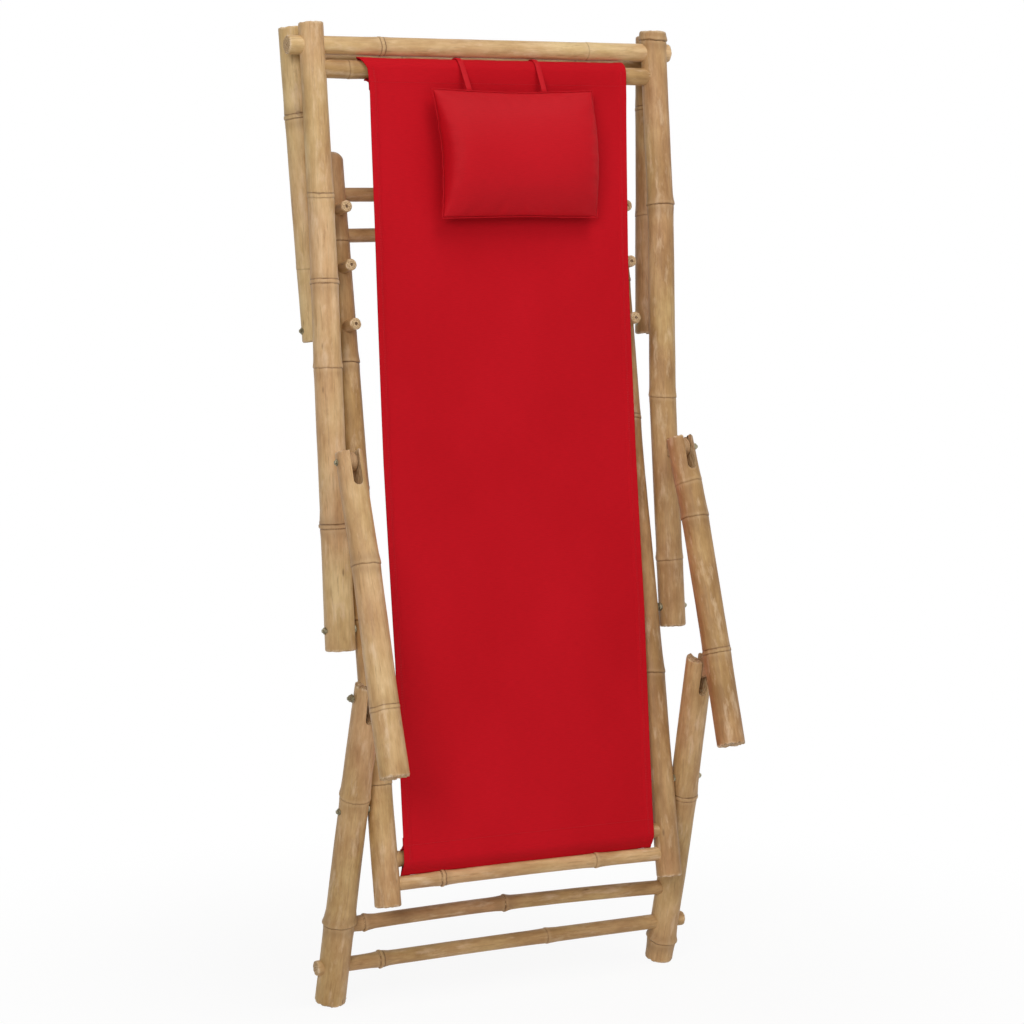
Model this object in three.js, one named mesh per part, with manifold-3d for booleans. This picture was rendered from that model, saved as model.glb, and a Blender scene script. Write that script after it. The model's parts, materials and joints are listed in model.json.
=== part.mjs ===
import * as THREE from 'three';
import { mergeVertices } from 'three/addons/utils/BufferGeometryUtils.js';
import Module from 'manifold-3d';

const wasm = await Module();
wasm.setup();

// A folding recliner of solid bamboo poles with a cloth sling and a head pillow.
// It stands nearly folded on the feet of its leg frame. Lengths are in millimetres,
// angles in degrees. X runs across the chair, Y to its back, Z up.

// How the frames lean and open as the chair stands.
const seatLean = 9.3;
const backOpening = 4.8;
const legOpening = 24.1;

// Distance of the pole axes from the middle plane of the chair.
const outerPoleX = 270;
const seatRailX = 227;
const armrestX = 266;
const propSplay = 2.2;

// Places along the seat frame, measured from the hinge of back and seat.
const seatRearEnd = 680;
const seatFrontEnd = 398;
const legHingeBelow = 254.3;
const rearStretchersBelowEnd = [61, 120];
const pegsBelowEnd = [85, 168, 252];
const lowerHemAboveEnd = 69.5;
const frontStretcherAboveEnd = 34.4;

// Places along the back frame, measured from the same hinge.
const backTop = 854;
const backBottom = 30;
const topRailBelowEnd = 32;
const upperHemBelowEnd = 69;
const armHingeHeight = 236.3;
const armHingeForward = 56.3;
const propHingeHeight = 423.5;
const propHingeBehind = 43;

// Places along the leg, measured from its hinge on the seat rail.
const legTop = 192.9;
const armBoltBelowLegTop = 20;
const legFoot = 301;
const legUpperStretcherAboveFoot = 123;
const legLowerStretcherAboveFoot = 63.4;

// Places along the armrest and the prop, measured from their hinges on the back.
const armTop = 16;
const armTongueReach = 57;
const armPastTongue = 121.7;
const propBottom = 18.5;
const propTop = 422.5;
const propBarBelowEnd = 39;

// Pole radii at the lower and the upper end, left pole first.
const backPostRadii = [[21.5, 17.6], [18.8, 18.4]];
const seatRailRadii = [[19, 18], [18.6, 18]];
const legRadii = [[20, 20.6], [21, 20]];
const armrestRadii = [[21, 19.6], [20.4, 19.6]];
const propPostRadii = [[18.5, 18.5], [18.5, 18.2]];

// Rail radii.
const topRailRadius = 11.8;
const upperHemRadius = 12.8;
const lowerHemRadius = 10.5;
const stretcherRadius = 10;
const propBarRadius = 10;
const pegRadius = 8.5;

// How far rails and pegs go past the axis of the pole that holds them, and how far they stand out.
const railPastAxis = 6;
const topRailStub = 20;
const legRailStub = 8;
const pegPastAxis = 8;
const pegReach = 47;

// Rings of the bamboo, as shares of a pole's length from its lower end.
const backPostRingShares = [[0.2, 0.46, 0.72, 0.88], [0.16, 0.44, 0.7, 0.945]];
const seatRailRingShares = [[0.09, 0.3, 0.53, 0.72, 0.88], [0.05, 0.29, 0.47, 0.68, 0.86]];
const legRingShares = [[0.22, 0.46], [0.1, 0.5]];
const armrestRingShares = [[0.2, 0.64], [0.3, 0.74]];
const propPostRingShares = [[0.24, 0.7], [0.4, 0.76]];
const railRingShares = [0.2, 0.64];

// Shape of a bamboo ring, of a pole's worn edge and of the pith hole at its ends.
const ringReach = 9;
const ringGroove = 0.7;
const ringGrooveBefore = 2;
const ringSwell = 1.1;
const ringSwellAfter = 2.5;
const edgeRound = 2;
const pithRadius = 2.2;
const pithDepth = 6;

// Fits: the gap between pieces that touch, and how far a cutting tool runs past its piece.
const seatGap = 0.3;
const overrun = 30;

// Hinge tongues, the forks that take them, and the loose hole of the tongue at the leg.
const tongueThickness = 10;
const tongueHeight = 27;
const tongueNose = 12;
const tongueSeatDepth = 14;
const forkSideGap = 1.2;
const forkBelowBolt = 16;
const looseHoleGap = 4.2;

// Bolts, nuts and washers.
const boltRadius = 3;
const boltHeadRadius = 5.8;
const boltHeadHeight = 3.6;
const boltHeadEdge = 1.4;
const boltEndPast = 1.2;
const nutRadius = 5.6;
const nutHeight = 3.6;
const seatFlatRadius = 7;
const seatFlatDepth = 2.6;
const washerRadius = 8;

// Cloth sling, head pillow and the two loops that hang the pillow.
const clothThickness = 1.6;
const slingHalfWidth = 202;
const slingSag = 14;
const pillowCentreX = 22;
const pillowWidth = 258;
const pillowHeight = 184;
const pillowTopBelowHem = 25;
const pillowBackBulge = 15;
const pillowFrontBulge = 38;
const pillowDrawInShare = 0.035;
const pillowCrownShare = 0.55;
const loopPlacesX = [-55, 71];
const loopWidth = 9;
const loopThickness = 1.8;
const loopCatchAngle = 20;

// Facets round each kind of piece, and the steps of the soft pieces.
const poleSides = 14;
const railSides = 10;
const boltSides = 8;
const hexagonSides = 6;
const slingSteps = 8;
const loopSteps = 9;
const pillowStepsWide = 16;
const pillowStepsHigh = 12;

const bambooLight = 0xcdaa7d;
const bambooShade = 0xb88f62;
const steelGrey = 0x8d8f92;
const clothRed = 0xb8121e;
const pillowRed = 0xc8243a;

const sides = [
  { name: 'left', sign: -1, index: 0 },
  { name: 'right', sign: 1, index: 1 },
];

function degrees(angle) {
  return THREE.MathUtils.degToRad(angle);
}

// Solid modelling helpers. A three.js geometry becomes a solid once its corners are shared.
function solidOf(geometry) {
  geometry.deleteAttribute('normal');
  geometry.deleteAttribute('uv');
  const merged = mergeVertices(geometry);
  const corners = merged.index.array;
  const kept = [];
  for (let i = 0; i < corners.length; i += 3) {
    const [a, b, c] = [corners[i], corners[i + 1], corners[i + 2]];
    if (a !== b && b !== c && c !== a) kept.push(a, b, c);
  }
  return new wasm.Manifold(new wasm.Mesh({
    numProp: 3,
    vertProperties: new Float32Array(merged.attributes.position.array),
    triVerts: new Uint32Array(kept),
  }));
}

function geometryOf(solid) {
  const { vertProperties, triVerts } = solid.getMesh();
  const geometry = new THREE.BufferGeometry();
  geometry.setAttribute('position', new THREE.BufferAttribute(vertProperties, 3));
  geometry.setIndex(new THREE.BufferAttribute(triVerts, 1));
  geometry.computeVertexNormals();
  return geometry;
}

function cutFrom(solid, tools) {
  return tools.reduce((rest, tool) => rest.subtract(tool), solid);
}

function addPiece(group, name, solid, look) {
  const material = new THREE.MeshStandardMaterial(look);
  const mesh = new THREE.Mesh(geometryOf(solid), material);
  mesh.name = name;
  group.add(mesh);
  return mesh;
}

const bamboo = { color: bambooLight, roughness: 0.55, metalness: 0 };
const bambooInside = { color: bambooShade, roughness: 0.6, metalness: 0 };
const steel = { color: steelGrey, roughness: 0.35, metalness: 0.9 };
const cloth = { color: clothRed, roughness: 0.85, metalness: 0 };
const pillowCloth = { color: pillowRed, roughness: 0.85, metalness: 0 };

// Radius of a faceted bore whose flats clear a rod of the given radius.
function boreRadius(radius, facets) {
  return (radius + seatGap) / Math.cos(Math.PI / facets);
}

// A round rod along X between two places.
function rodAlongX(radius, fromX, toX, y, z, facets) {
  const rod = new THREE.CylinderGeometry(radius, radius, Math.abs(toX - fromX), facets);
  rod.rotateZ(Math.PI / 2);
  rod.translate((fromX + toX) / 2, y, z);
  return solidOf(rod);
}

// A round rod along Y between two places.
function rodAlongY(radius, fromY, toY, x, z, facets) {
  const rod = new THREE.CylinderGeometry(radius, radius, Math.abs(toY - fromY), facets);
  rod.translate(0, (fromY + toY) / 2, 0);
  rod.translate(x, 0, z);
  return solidOf(rod);
}

function block(fromX, toX, fromY, toY, fromZ, toZ) {
  const box = new THREE.BoxGeometry(Math.abs(toX - fromX), Math.abs(toY - fromY), Math.abs(toZ - fromZ));
  box.translate((fromX + toX) / 2, (fromY + toY) / 2, (fromZ + toZ) / 2);
  return solidOf(box);
}

// A bamboo pole along Z: a tapered revolve with rings, worn edges and pith holes at the ends.
function bambooPole(length, radii, ringShares, facets, endsShow = true) {
  const [lowRadius, highRadius] = radii;
  const radiusAt = (z) => lowRadius + (highRadius - lowRadius) * (z / length);
  const lowPith = [[0, pithDepth], [pithRadius, pithDepth], [pithRadius, 0]];
  const highPith = [[pithRadius, length], [pithRadius, length - pithDepth], [0, length - pithDepth]];
  const outline = endsShow ? lowPith : [[0, 0]];
  outline.push([lowRadius - edgeRound, 0]);
  outline.push([lowRadius, edgeRound]);
  for (const share of ringShares) {
    const z = share * length;
    outline.push([radiusAt(z), z - ringReach]);
    outline.push([radiusAt(z) - ringGroove, z - ringGrooveBefore]);
    outline.push([radiusAt(z) + ringSwell, z + ringSwellAfter]);
    outline.push([radiusAt(z), z + ringReach]);
  }
  outline.push([highRadius, length - edgeRound]);
  outline.push([highRadius - edgeRound, length]);
  outline.push(...(endsShow ? highPith : [[0, length]]));
  const pole = new THREE.LatheGeometry(outline.map(([r, z]) => new THREE.Vector2(r, z)), facets);
  pole.rotateX(Math.PI / 2);
  return solidOf(pole);
}

// A rail is the same pole laid along X about its own middle.
function bambooRail(halfLength, radius, endsShow) {
  const length = 2 * halfLength;
  const rail = bambooPole(length, [radius, radius], railRingShares, railSides, endsShow);
  return rail.translate([0, 0, -halfLength]).rotate([0, 90, 0]);
}

// The poles of each frame: where their lower end lies, and their radius at any height.
function poleSpec(start, end, radii, ringShares) {
  const length = start + end;
  const radiusAt = (z) => radii[0] + (radii[1] - radii[0]) * ((z + start) / length);
  return { start, length, radii, ringShares, radiusAt };
}

function poleSolid(spec) {
  return bambooPole(spec.length, spec.radii, spec.ringShares, poleSides).translate([0, 0, -spec.start]);
}

// Hole for a rail that comes from the chair's middle and ends inside the pole.
function railSocket(radius, sign, z) {
  const bore = boreRadius(radius, railSides);
  return rodAlongX(bore, -sign * overrun, sign * (railPastAxis + seatGap), 0, z, railSides);
}

function throughHole(radius, z, facets) {
  return rodAlongX(boreRadius(radius, facets), -overrun, overrun, 0, z, facets);
}

// Flat spot that seats a bolt head or a nut on the round pole.
function seatFlat(poleRadius, sign, z) {
  return rodAlongX(seatFlatRadius, sign * (poleRadius - seatFlatDepth), sign * overrun, 0, z, railSides);
}

// Fork at a pole's end: a slot through it, open at the end, with a round bottom.
function forkSlot(x, pivotZ, endSign) {
  const halfWidth = tongueThickness / 2 + forkSideGap;
  const bottomZ = pivotZ - endSign * forkBelowBolt;
  const openZ = pivotZ + endSign * overrun;
  const slot = block(x - halfWidth, x + halfWidth, -overrun, overrun, bottomZ, openZ);
  return slot.add(rodAlongY(halfWidth, -overrun, overrun, x, bottomZ, railSides));
}

// What the prop's lower end loses to be round about its hinge, so that it turns clear of the post.
function endRounding(poleRadius, reach) {
  const wide = poleRadius + ringSwell;
  const tool = block(-overrun, overrun, -overrun, overrun, -overrun, 0);
  const nose = new THREE.CylinderGeometry(reach, reach, 2 * (overrun + seatGap), poleSides);
  nose.rotateZ(Math.PI / 2);
  nose.scale(1, wide / reach, 1);
  return tool.subtract(solidOf(nose));
}

// Hinge tongue: a flat plate seated in a pole, with a round nose about its bolt hole.
// Its seat lies along Y, towards the sign that is given.
function tongue(seatSign, seatDistance, holeGap) {
  const half = tongueThickness / 2;
  const halfHeight = tongueHeight / 2;
  const plate = block(-half, half, 0, seatSign * seatDistance, -halfHeight, halfHeight);
  const nose = new THREE.CylinderGeometry(tongueNose, tongueNose, tongueThickness, poleSides);
  nose.rotateZ(Math.PI / 2);
  nose.scale(1, 1, halfHeight / tongueNose);
  const hole = rodAlongX(boreRadius(boltRadius + holeGap, railSides), -overrun, overrun, 0, 0, railSides);
  return plate.add(solidOf(nose)).subtract(hole);
}

// Mortise in a pole for the seated end of a tongue.
function tongueMortise(x, faceSign, poleRadius, z) {
  const half = tongueThickness / 2 + seatGap;
  const halfHeight = tongueHeight / 2 + seatGap;
  const bottomY = faceSign * (poleRadius - tongueSeatDepth - seatGap);
  return block(x - half, x + half, bottomY, faceSign * overrun, z - halfHeight, z + halfHeight);
}

// Bolt along X with a domed head on the chair's outer side, its nut and its washer.
function bolt(outerX, innerX) {
  const headTop = outerX + boltHeadHeight;
  const endX = innerX - nutHeight - boltEndPast;
  const outline = [
    [0, endX],
    [boltRadius, endX],
    [boltRadius, outerX + seatGap],
    [boltHeadRadius, outerX + seatGap],
    [boltHeadRadius, outerX + boltHeadEdge],
    [boltRadius, headTop],
    [0, headTop],
  ];
  const shank = new THREE.LatheGeometry(outline.map(([r, x]) => new THREE.Vector2(r, x)), boltSides);
  shank.rotateZ(-Math.PI / 2);
  return solidOf(shank);
}

// A ring round a bolt, for nuts and washers.
function ringAlongX(outline, fromX, toX) {
  const shape = new THREE.Shape(outline);
  shape.holes.push(new THREE.Path(roundOutline(boreRadius(boltRadius, boltSides), boltSides).reverse()));
  const ring = new THREE.ExtrudeGeometry(shape, { depth: toX - fromX, bevelEnabled: false });
  ring.rotateY(Math.PI / 2);
  ring.translate(fromX, 0, 0);
  return solidOf(ring);
}

function roundOutline(radius, corners) {
  const outline = [];
  for (let i = 0; i < corners; i += 1) {
    const angle = (2 * Math.PI * i) / corners;
    outline.push(new THREE.Vector2(radius * Math.cos(angle), radius * Math.sin(angle)));
  }
  return outline;
}

function addFastener(group, label, side, y, z, outerX, innerX) {
  const turn = side.sign > 0 ? 0 : Math.PI;
  const nutOuter = innerX - seatGap;
  const pieces = [
    [`${label}_bolt_${side.name}`, bolt(outerX, innerX)],
    [`${label}_nut_${side.name}`,
      ringAlongX(roundOutline(nutRadius, hexagonSides), innerX - nutHeight, nutOuter)],
  ];
  for (const [name, solid] of pieces) {
    const mesh = addPiece(group, name, solid, steel);
    mesh.rotation.z = turn;
    mesh.position.set(0, y, z);
  }
}

// Washer between two poles that are bolted side by side.
function addWasher(group, label, side, z, innerFace, outerFace) {
  const outline = roundOutline(washerRadius, boltSides);
  const ring = ringAlongX(outline, innerFace + seatGap, outerFace - seatGap);
  const mesh = addPiece(group, `${label}_washer_${side.name}`, ring, steel);
  mesh.rotation.z = side.sign > 0 ? 0 : Math.PI;
  mesh.position.set(0, 0, z);
}

// Heights along each frame, taken from its ends, so that rails keep with the poles that hold them.
const rearStretcherHeights = rearStretchersBelowEnd.map((below) => seatRearEnd - below);
const pegHeights = pegsBelowEnd.map((below) => seatRearEnd - below);
const lowerHemBelow = seatFrontEnd - lowerHemAboveEnd;
const frontStretcherBelow = seatFrontEnd - frontStretcherAboveEnd;
const topRailHeight = backTop - topRailBelowEnd;
const upperHemHeight = backTop - upperHemBelowEnd;
const legUpperStretcherBelow = legFoot - legUpperStretcherAboveFoot;
const legLowerStretcherBelow = legFoot - legLowerStretcherAboveFoot;
const propBarHeight = propTop - propBarBelowEnd;

// Nested frames: the seat frame leans, back and legs hinge on it, arms and prop on the back.
const recliner = new THREE.Group();
const seatFrame = new THREE.Group();
seatFrame.rotation.x = -degrees(seatLean);
recliner.add(seatFrame);

const backFrame = new THREE.Group();
backFrame.rotation.x = degrees(backOpening);
seatFrame.add(backFrame);

const legFrame = new THREE.Group();
legFrame.position.z = -legHingeBelow;
legFrame.rotation.x = degrees(legOpening);
seatFrame.add(legFrame);

// The armrest runs from its hinge on the back to the leg's upper bolt. Both ends are known,
// so its tongue and its slope follow from them.
const armBoltHeight = legTop - armBoltBelowLegTop;
const acrossChair = new THREE.Vector3(1, 0, 0);
const legBoltInSeat = new THREE.Vector3(0, 0, armBoltHeight)
  .applyAxisAngle(acrossChair, degrees(legOpening))
  .add(new THREE.Vector3(0, 0, -legHingeBelow));
const legBoltInBack = legBoltInSeat.clone().applyAxisAngle(acrossChair, -degrees(backOpening));
const armHingeInBack = new THREE.Vector3(0, -armHingeForward, armHingeHeight);
const armSpan = legBoltInBack.clone().sub(armHingeInBack);
const armLegDistance = Math.sqrt(armSpan.lengthSq() - armTongueReach ** 2);
const armTurn = Math.atan2(armSpan.y, -armSpan.z) - Math.atan2(armTongueReach, armLegDistance);
const armBottom = armLegDistance + armPastTongue;
const armOffset = armrestX - outerPoleX;

const armFrame = new THREE.Group();
armFrame.position.copy(armHingeInBack);
armFrame.rotation.x = armTurn;
backFrame.add(armFrame);

const propFrame = new THREE.Group();
propFrame.position.set(0, propHingeBehind, propHingeHeight);
backFrame.add(propFrame);

const seatRailSpecs = sides.map(({ index }) => poleSpec(
  seatFrontEnd,
  seatRearEnd,
  seatRailRadii[index],
  seatRailRingShares[index],
));

// Seat frame: two rails with three rests for the prop on each, two stretchers at the rear end,
// the rail of the sling's lower hem and a stretcher at the front end.
for (const side of sides) {
  const spec = seatRailSpecs[side.index];
  const tools = [
    throughHole(boltRadius, 0, boltSides),
    throughHole(boltRadius, -legHingeBelow, boltSides),
    seatFlat(spec.radiusAt(0), -side.sign, 0),
    seatFlat(spec.radiusAt(-legHingeBelow), -side.sign, -legHingeBelow),
    railSocket(lowerHemRadius, side.sign, -lowerHemBelow),
    railSocket(stretcherRadius, side.sign, -frontStretcherBelow),
  ];
  for (const z of rearStretcherHeights) tools.push(railSocket(stretcherRadius, side.sign, z));
  const pegBore = boreRadius(pegRadius, railSides);
  const pegSocketEnd = pegPastAxis + seatGap;
  for (const z of pegHeights) {
    tools.push(rodAlongY(pegBore, -overrun, pegSocketEnd, 0, z, railSides));
  }
  const rail = addPiece(seatFrame, `seat_rail_${side.name}`, cutFrom(poleSolid(spec), tools), bamboo);
  rail.position.x = side.sign * seatRailX;
  pegHeights.forEach((z, i) => {
    const peg = bambooPole(pegPastAxis + pegReach, [pegRadius, pegRadius], [], boltSides);
    const name = `prop_peg_${side.name}_${i + 1}`;
    const laid = peg.translate([0, 0, -pegPastAxis]).rotate([90, 0, 0]);
    const mesh = addPiece(seatFrame, name, laid, bambooInside);
    mesh.position.set(side.sign * seatRailX, 0, z);
  });
}

const seatRailReach = seatRailX + railPastAxis;
const seatRails = [
  ['rear_stretcher_upper', stretcherRadius, rearStretcherHeights[0]],
  ['rear_stretcher_lower', stretcherRadius, rearStretcherHeights[1]],
  ['lower_hem_rail', lowerHemRadius, -lowerHemBelow],
  ['front_stretcher', stretcherRadius, -frontStretcherBelow],
];
for (const [name, radius, z] of seatRails) {
  addPiece(seatFrame, name, bambooRail(seatRailReach, radius, false), bambooInside).position.z = z;
}

// Back frame: two posts, the top rail through them with its stubs, the rail of the sling's
// upper hem, and the tongues that carry the armrests in front and the prop behind.
for (const side of sides) {
  const spec = poleSpec(backBottom, backTop, backPostRadii[side.index], backPostRingShares[side.index]);
  const armRadius = spec.radiusAt(armHingeHeight);
  const propRadius = spec.radiusAt(propHingeHeight);
  const tools = [
    throughHole(boltRadius, 0, boltSides),
    seatFlat(spec.radiusAt(0), side.sign, 0),
    throughHole(topRailRadius, topRailHeight, railSides),
    railSocket(upperHemRadius, side.sign, upperHemHeight),
    tongueMortise(side.sign * armOffset, -1, armRadius, armHingeHeight),
    tongueMortise(0, 1, propRadius, propHingeHeight),
  ];
  const post = addPiece(backFrame, `back_post_${side.name}`, cutFrom(poleSolid(spec), tools), bamboo);
  post.position.x = side.sign * outerPoleX;

  const armTongue = tongue(1, armHingeForward - armRadius + tongueSeatDepth, 0);
  addPiece(backFrame, `arm_tongue_${side.name}`, armTongue, bambooInside)
    .position.set(side.sign * armrestX, -armHingeForward, armHingeHeight);
  const propTongue = tongue(-1, propHingeBehind - propRadius + tongueSeatDepth, 0);
  addPiece(backFrame, `prop_tongue_${side.name}`, propTongue, bambooInside)
    .position.set(side.sign * outerPoleX, propHingeBehind, propHingeHeight);

  const seatRailRadius = seatRailSpecs[side.index].radiusAt(0);
  const outerX = outerPoleX + spec.radiusAt(0) - seatFlatDepth;
  const innerX = seatRailX - seatRailRadius + seatFlatDepth;
  addFastener(backFrame, 'back_hinge', side, 0, 0, outerX, innerX);
  addWasher(backFrame, 'back_hinge', side, 0, seatRailX + seatRailRadius, outerPoleX - spec.radiusAt(0));
}
const stubReach = outerPoleX + Math.max(backPostRadii[0][1], backPostRadii[1][1]) + topRailStub;
const upperHemReach = outerPoleX + railPastAxis;
addPiece(backFrame, 'top_rail', bambooRail(stubReach, topRailRadius, true), bambooInside)
  .position.z = topRailHeight;
addPiece(backFrame, 'upper_hem_rail', bambooRail(upperHemReach, upperHemRadius, false), bambooInside)
  .position.z = upperHemHeight;

// Leg frame: two legs forked at the top, a stretcher in sockets and one that goes through.
for (const side of sides) {
  const spec = poleSpec(legFoot, legTop, legRadii[side.index], legRingShares[side.index]);
  const forkRadius = spec.radiusAt(armBoltHeight);
  const tools = [
    throughHole(boltRadius, 0, boltSides),
    seatFlat(spec.radiusAt(0), side.sign, 0),
    railSocket(stretcherRadius, side.sign, -legUpperStretcherBelow),
    throughHole(stretcherRadius, -legLowerStretcherBelow, railSides),
    forkSlot(side.sign * armOffset, armBoltHeight, 1),
    throughHole(boltRadius, armBoltHeight, boltSides),
    seatFlat(forkRadius, 1, armBoltHeight),
    seatFlat(forkRadius, -1, armBoltHeight),
  ];
  const leg = addPiece(legFrame, `leg_${side.name}`, cutFrom(poleSolid(spec), tools), bamboo);
  leg.position.x = side.sign * outerPoleX;
  const boltOuter = outerPoleX + forkRadius - seatFlatDepth;
  const boltInner = outerPoleX - forkRadius + seatFlatDepth;
  addFastener(legFrame, 'arm_front_hinge', side, 0, armBoltHeight, boltOuter, boltInner);

  const seatRadius = seatRailSpecs[side.index].radiusAt(-legHingeBelow);
  const hingeOuter = outerPoleX + spec.radiusAt(0) - seatFlatDepth;
  addFastener(legFrame, 'leg_hinge', side, 0, 0, hingeOuter, seatRailX - seatRadius + seatFlatDepth);
  addWasher(legFrame, 'leg_hinge', side, 0, seatRailX + seatRadius, outerPoleX - spec.radiusAt(0));
}
const legRailReach = outerPoleX + railPastAxis;
addPiece(legFrame, 'leg_stretcher_upper', bambooRail(legRailReach, stretcherRadius, false), bambooInside)
  .position.z = -legUpperStretcherBelow;
const legStubReach = outerPoleX + Math.max(legRadii[0][0], legRadii[1][0]) + legRailStub;
addPiece(legFrame, 'leg_stretcher_lower', bambooRail(legStubReach, stretcherRadius, true), bambooInside)
  .position.z = -legLowerStretcherBelow;

// Armrests: forked at the back hinge, with the tongue that hangs in the leg's fork.
for (const side of sides) {
  const spec = poleSpec(armBottom, armTop, armrestRadii[side.index], armrestRingShares[side.index]);
  const forkRadius = spec.radiusAt(0);
  const tongueRadius = spec.radiusAt(-armLegDistance);
  const tools = [
    forkSlot(0, 0, 1),
    throughHole(boltRadius, 0, boltSides),
    seatFlat(forkRadius, 1, 0),
    seatFlat(forkRadius, -1, 0),
    tongueMortise(0, 1, tongueRadius, -armLegDistance),
  ];
  const arm = addPiece(armFrame, `armrest_${side.name}`, cutFrom(poleSolid(spec), tools), bamboo);
  arm.position.x = side.sign * armrestX;
  const frontTongue = tongue(-1, armTongueReach - tongueRadius + tongueSeatDepth, looseHoleGap);
  addPiece(armFrame, `armrest_tongue_${side.name}`, frontTongue, bambooInside)
    .position.set(side.sign * armrestX, armTongueReach, -armLegDistance);
  const boltOuter = armrestX + forkRadius - seatFlatDepth;
  const boltInner = armrestX - forkRadius + seatFlatDepth;
  addFastener(armFrame, 'arm_rear_hinge', side, 0, 0, boltOuter, boltInner);
}

// Prop: two posts that spread from forks at their lower end, and the bar that rests behind a peg.
const barSpread = propBarHeight * Math.tan(degrees(propSplay));
for (const side of sides) {
  const spec = poleSpec(propBottom, propTop, propPostRadii[side.index], propPostRingShares[side.index]);
  const forkRadius = spec.radiusAt(0);
  const tools = [
    forkSlot(0, 0, -1),
    endRounding(forkRadius, propBottom),
    throughHole(boltRadius, 0, boltSides),
    seatFlat(forkRadius, 1, 0),
    seatFlat(forkRadius, -1, 0),
    railSocket(propBarRadius, side.sign, propBarHeight).translate([side.sign * barSpread, 0, 0]),
  ];
  const splayed = poleSolid(spec).rotate([0, side.sign * propSplay, 0]);
  const post = addPiece(propFrame, `prop_post_${side.name}`, cutFrom(splayed, tools), bamboo);
  post.position.x = side.sign * outerPoleX;
  const boltOuter = outerPoleX + forkRadius - seatFlatDepth;
  const boltInner = outerPoleX - forkRadius + seatFlatDepth;
  addFastener(propFrame, 'prop_hinge', side, 0, 0, boltOuter, boltInner);
}
const propBarReach = outerPoleX + barSpread + railPastAxis;
addPiece(propFrame, 'prop_bar', bambooRail(propBarReach, propBarRadius, false), bambooInside)
  .position.z = propBarHeight;

// Cloth shapes are drawn in the plane of Y and Z and extruded along X about a middle place.
function extrudeAlongX(shape, width, middleX) {
  const cloth3d = new THREE.ExtrudeGeometry(shape, {
    depth: width, bevelEnabled: false, curveSegments: railSides,
  });
  const alongY = new THREE.Vector3(0, 1, 0);
  const alongZ = new THREE.Vector3(0, 0, 1);
  cloth3d.applyMatrix4(new THREE.Matrix4().makeBasis(alongY, alongZ, acrossChair));
  cloth3d.translate(middleX - width / 2, 0, 0);
  return solidOf(cloth3d);
}

// Sling: a hem round each hem rail, and between them the cloth with a slight sag.
function slingShape(upper, lower, upperRadius, lowerRadius) {
  const down = lower.clone().sub(upper).normalize();
  const front = new THREE.Vector2(down.y, -down.x);
  if (front.x > 0) front.negate();
  const at = (centre, radius, angle, upSign) => centre.clone()
    .addScaledVector(front, radius * Math.cos(angle))
    .addScaledVector(down, -upSign * radius * Math.sin(angle));
  const upperGap = Math.acos((upperRadius - clothThickness) / upperRadius);
  const lowerGap = Math.acos((lowerRadius - clothThickness) / lowerRadius);
  const outline = [];
  for (let i = 0; i <= poleSides; i += 1) {
    outline.push(at(upper, upperRadius, (2 * Math.PI - upperGap) * (i / poleSides), 1));
  }
  const panel = (offsetUpper, offsetLower, share) => upper.clone().lerp(lower, share)
    .addScaledVector(front, offsetUpper + (offsetLower - offsetUpper) * share)
    .addScaledVector(front, -slingSag * Math.sin(Math.PI * share));
  for (let i = 1; i < slingSteps; i += 1) {
    outline.push(panel(upperRadius - clothThickness, lowerRadius - clothThickness, i / slingSteps));
  }
  for (let i = 0; i <= poleSides; i += 1) {
    const angle = lowerGap + (2 * Math.PI - lowerGap) * (i / poleSides);
    outline.push(at(lower, lowerRadius, -angle, -1));
  }
  for (let i = slingSteps - 1; i > 0; i -= 1) {
    outline.push(panel(upperRadius, lowerRadius, i / slingSteps));
  }
  return new THREE.Shape(outline);
}

const upperHemInSeat = new THREE.Vector3(0, 0, upperHemHeight)
  .applyAxisAngle(acrossChair, degrees(backOpening));
const upperHemInner = boreRadius(upperHemRadius + ringSwell, poleSides);
const lowerHemInner = boreRadius(lowerHemRadius + ringSwell, poleSides);
const upperHemOuter = upperHemInner + clothThickness;
const lowerHemOuter = lowerHemInner + clothThickness;
const sling = slingShape(
  new THREE.Vector2(upperHemInSeat.y, upperHemInSeat.z),
  new THREE.Vector2(0, -lowerHemBelow),
  upperHemOuter,
  lowerHemOuter,
);
const slingSolid = cutFrom(extrudeAlongX(sling, 2 * slingHalfWidth, 0), [
  rodAlongX(upperHemInner, -slingHalfWidth - overrun, slingHalfWidth + overrun,
    upperHemInSeat.y, upperHemInSeat.z, poleSides),
  rodAlongX(lowerHemInner, -slingHalfWidth - overrun, slingHalfWidth + overrun,
    0, -lowerHemBelow, poleSides),
]);
addPiece(seatFrame, 'sling', slingSolid, cloth);

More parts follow.
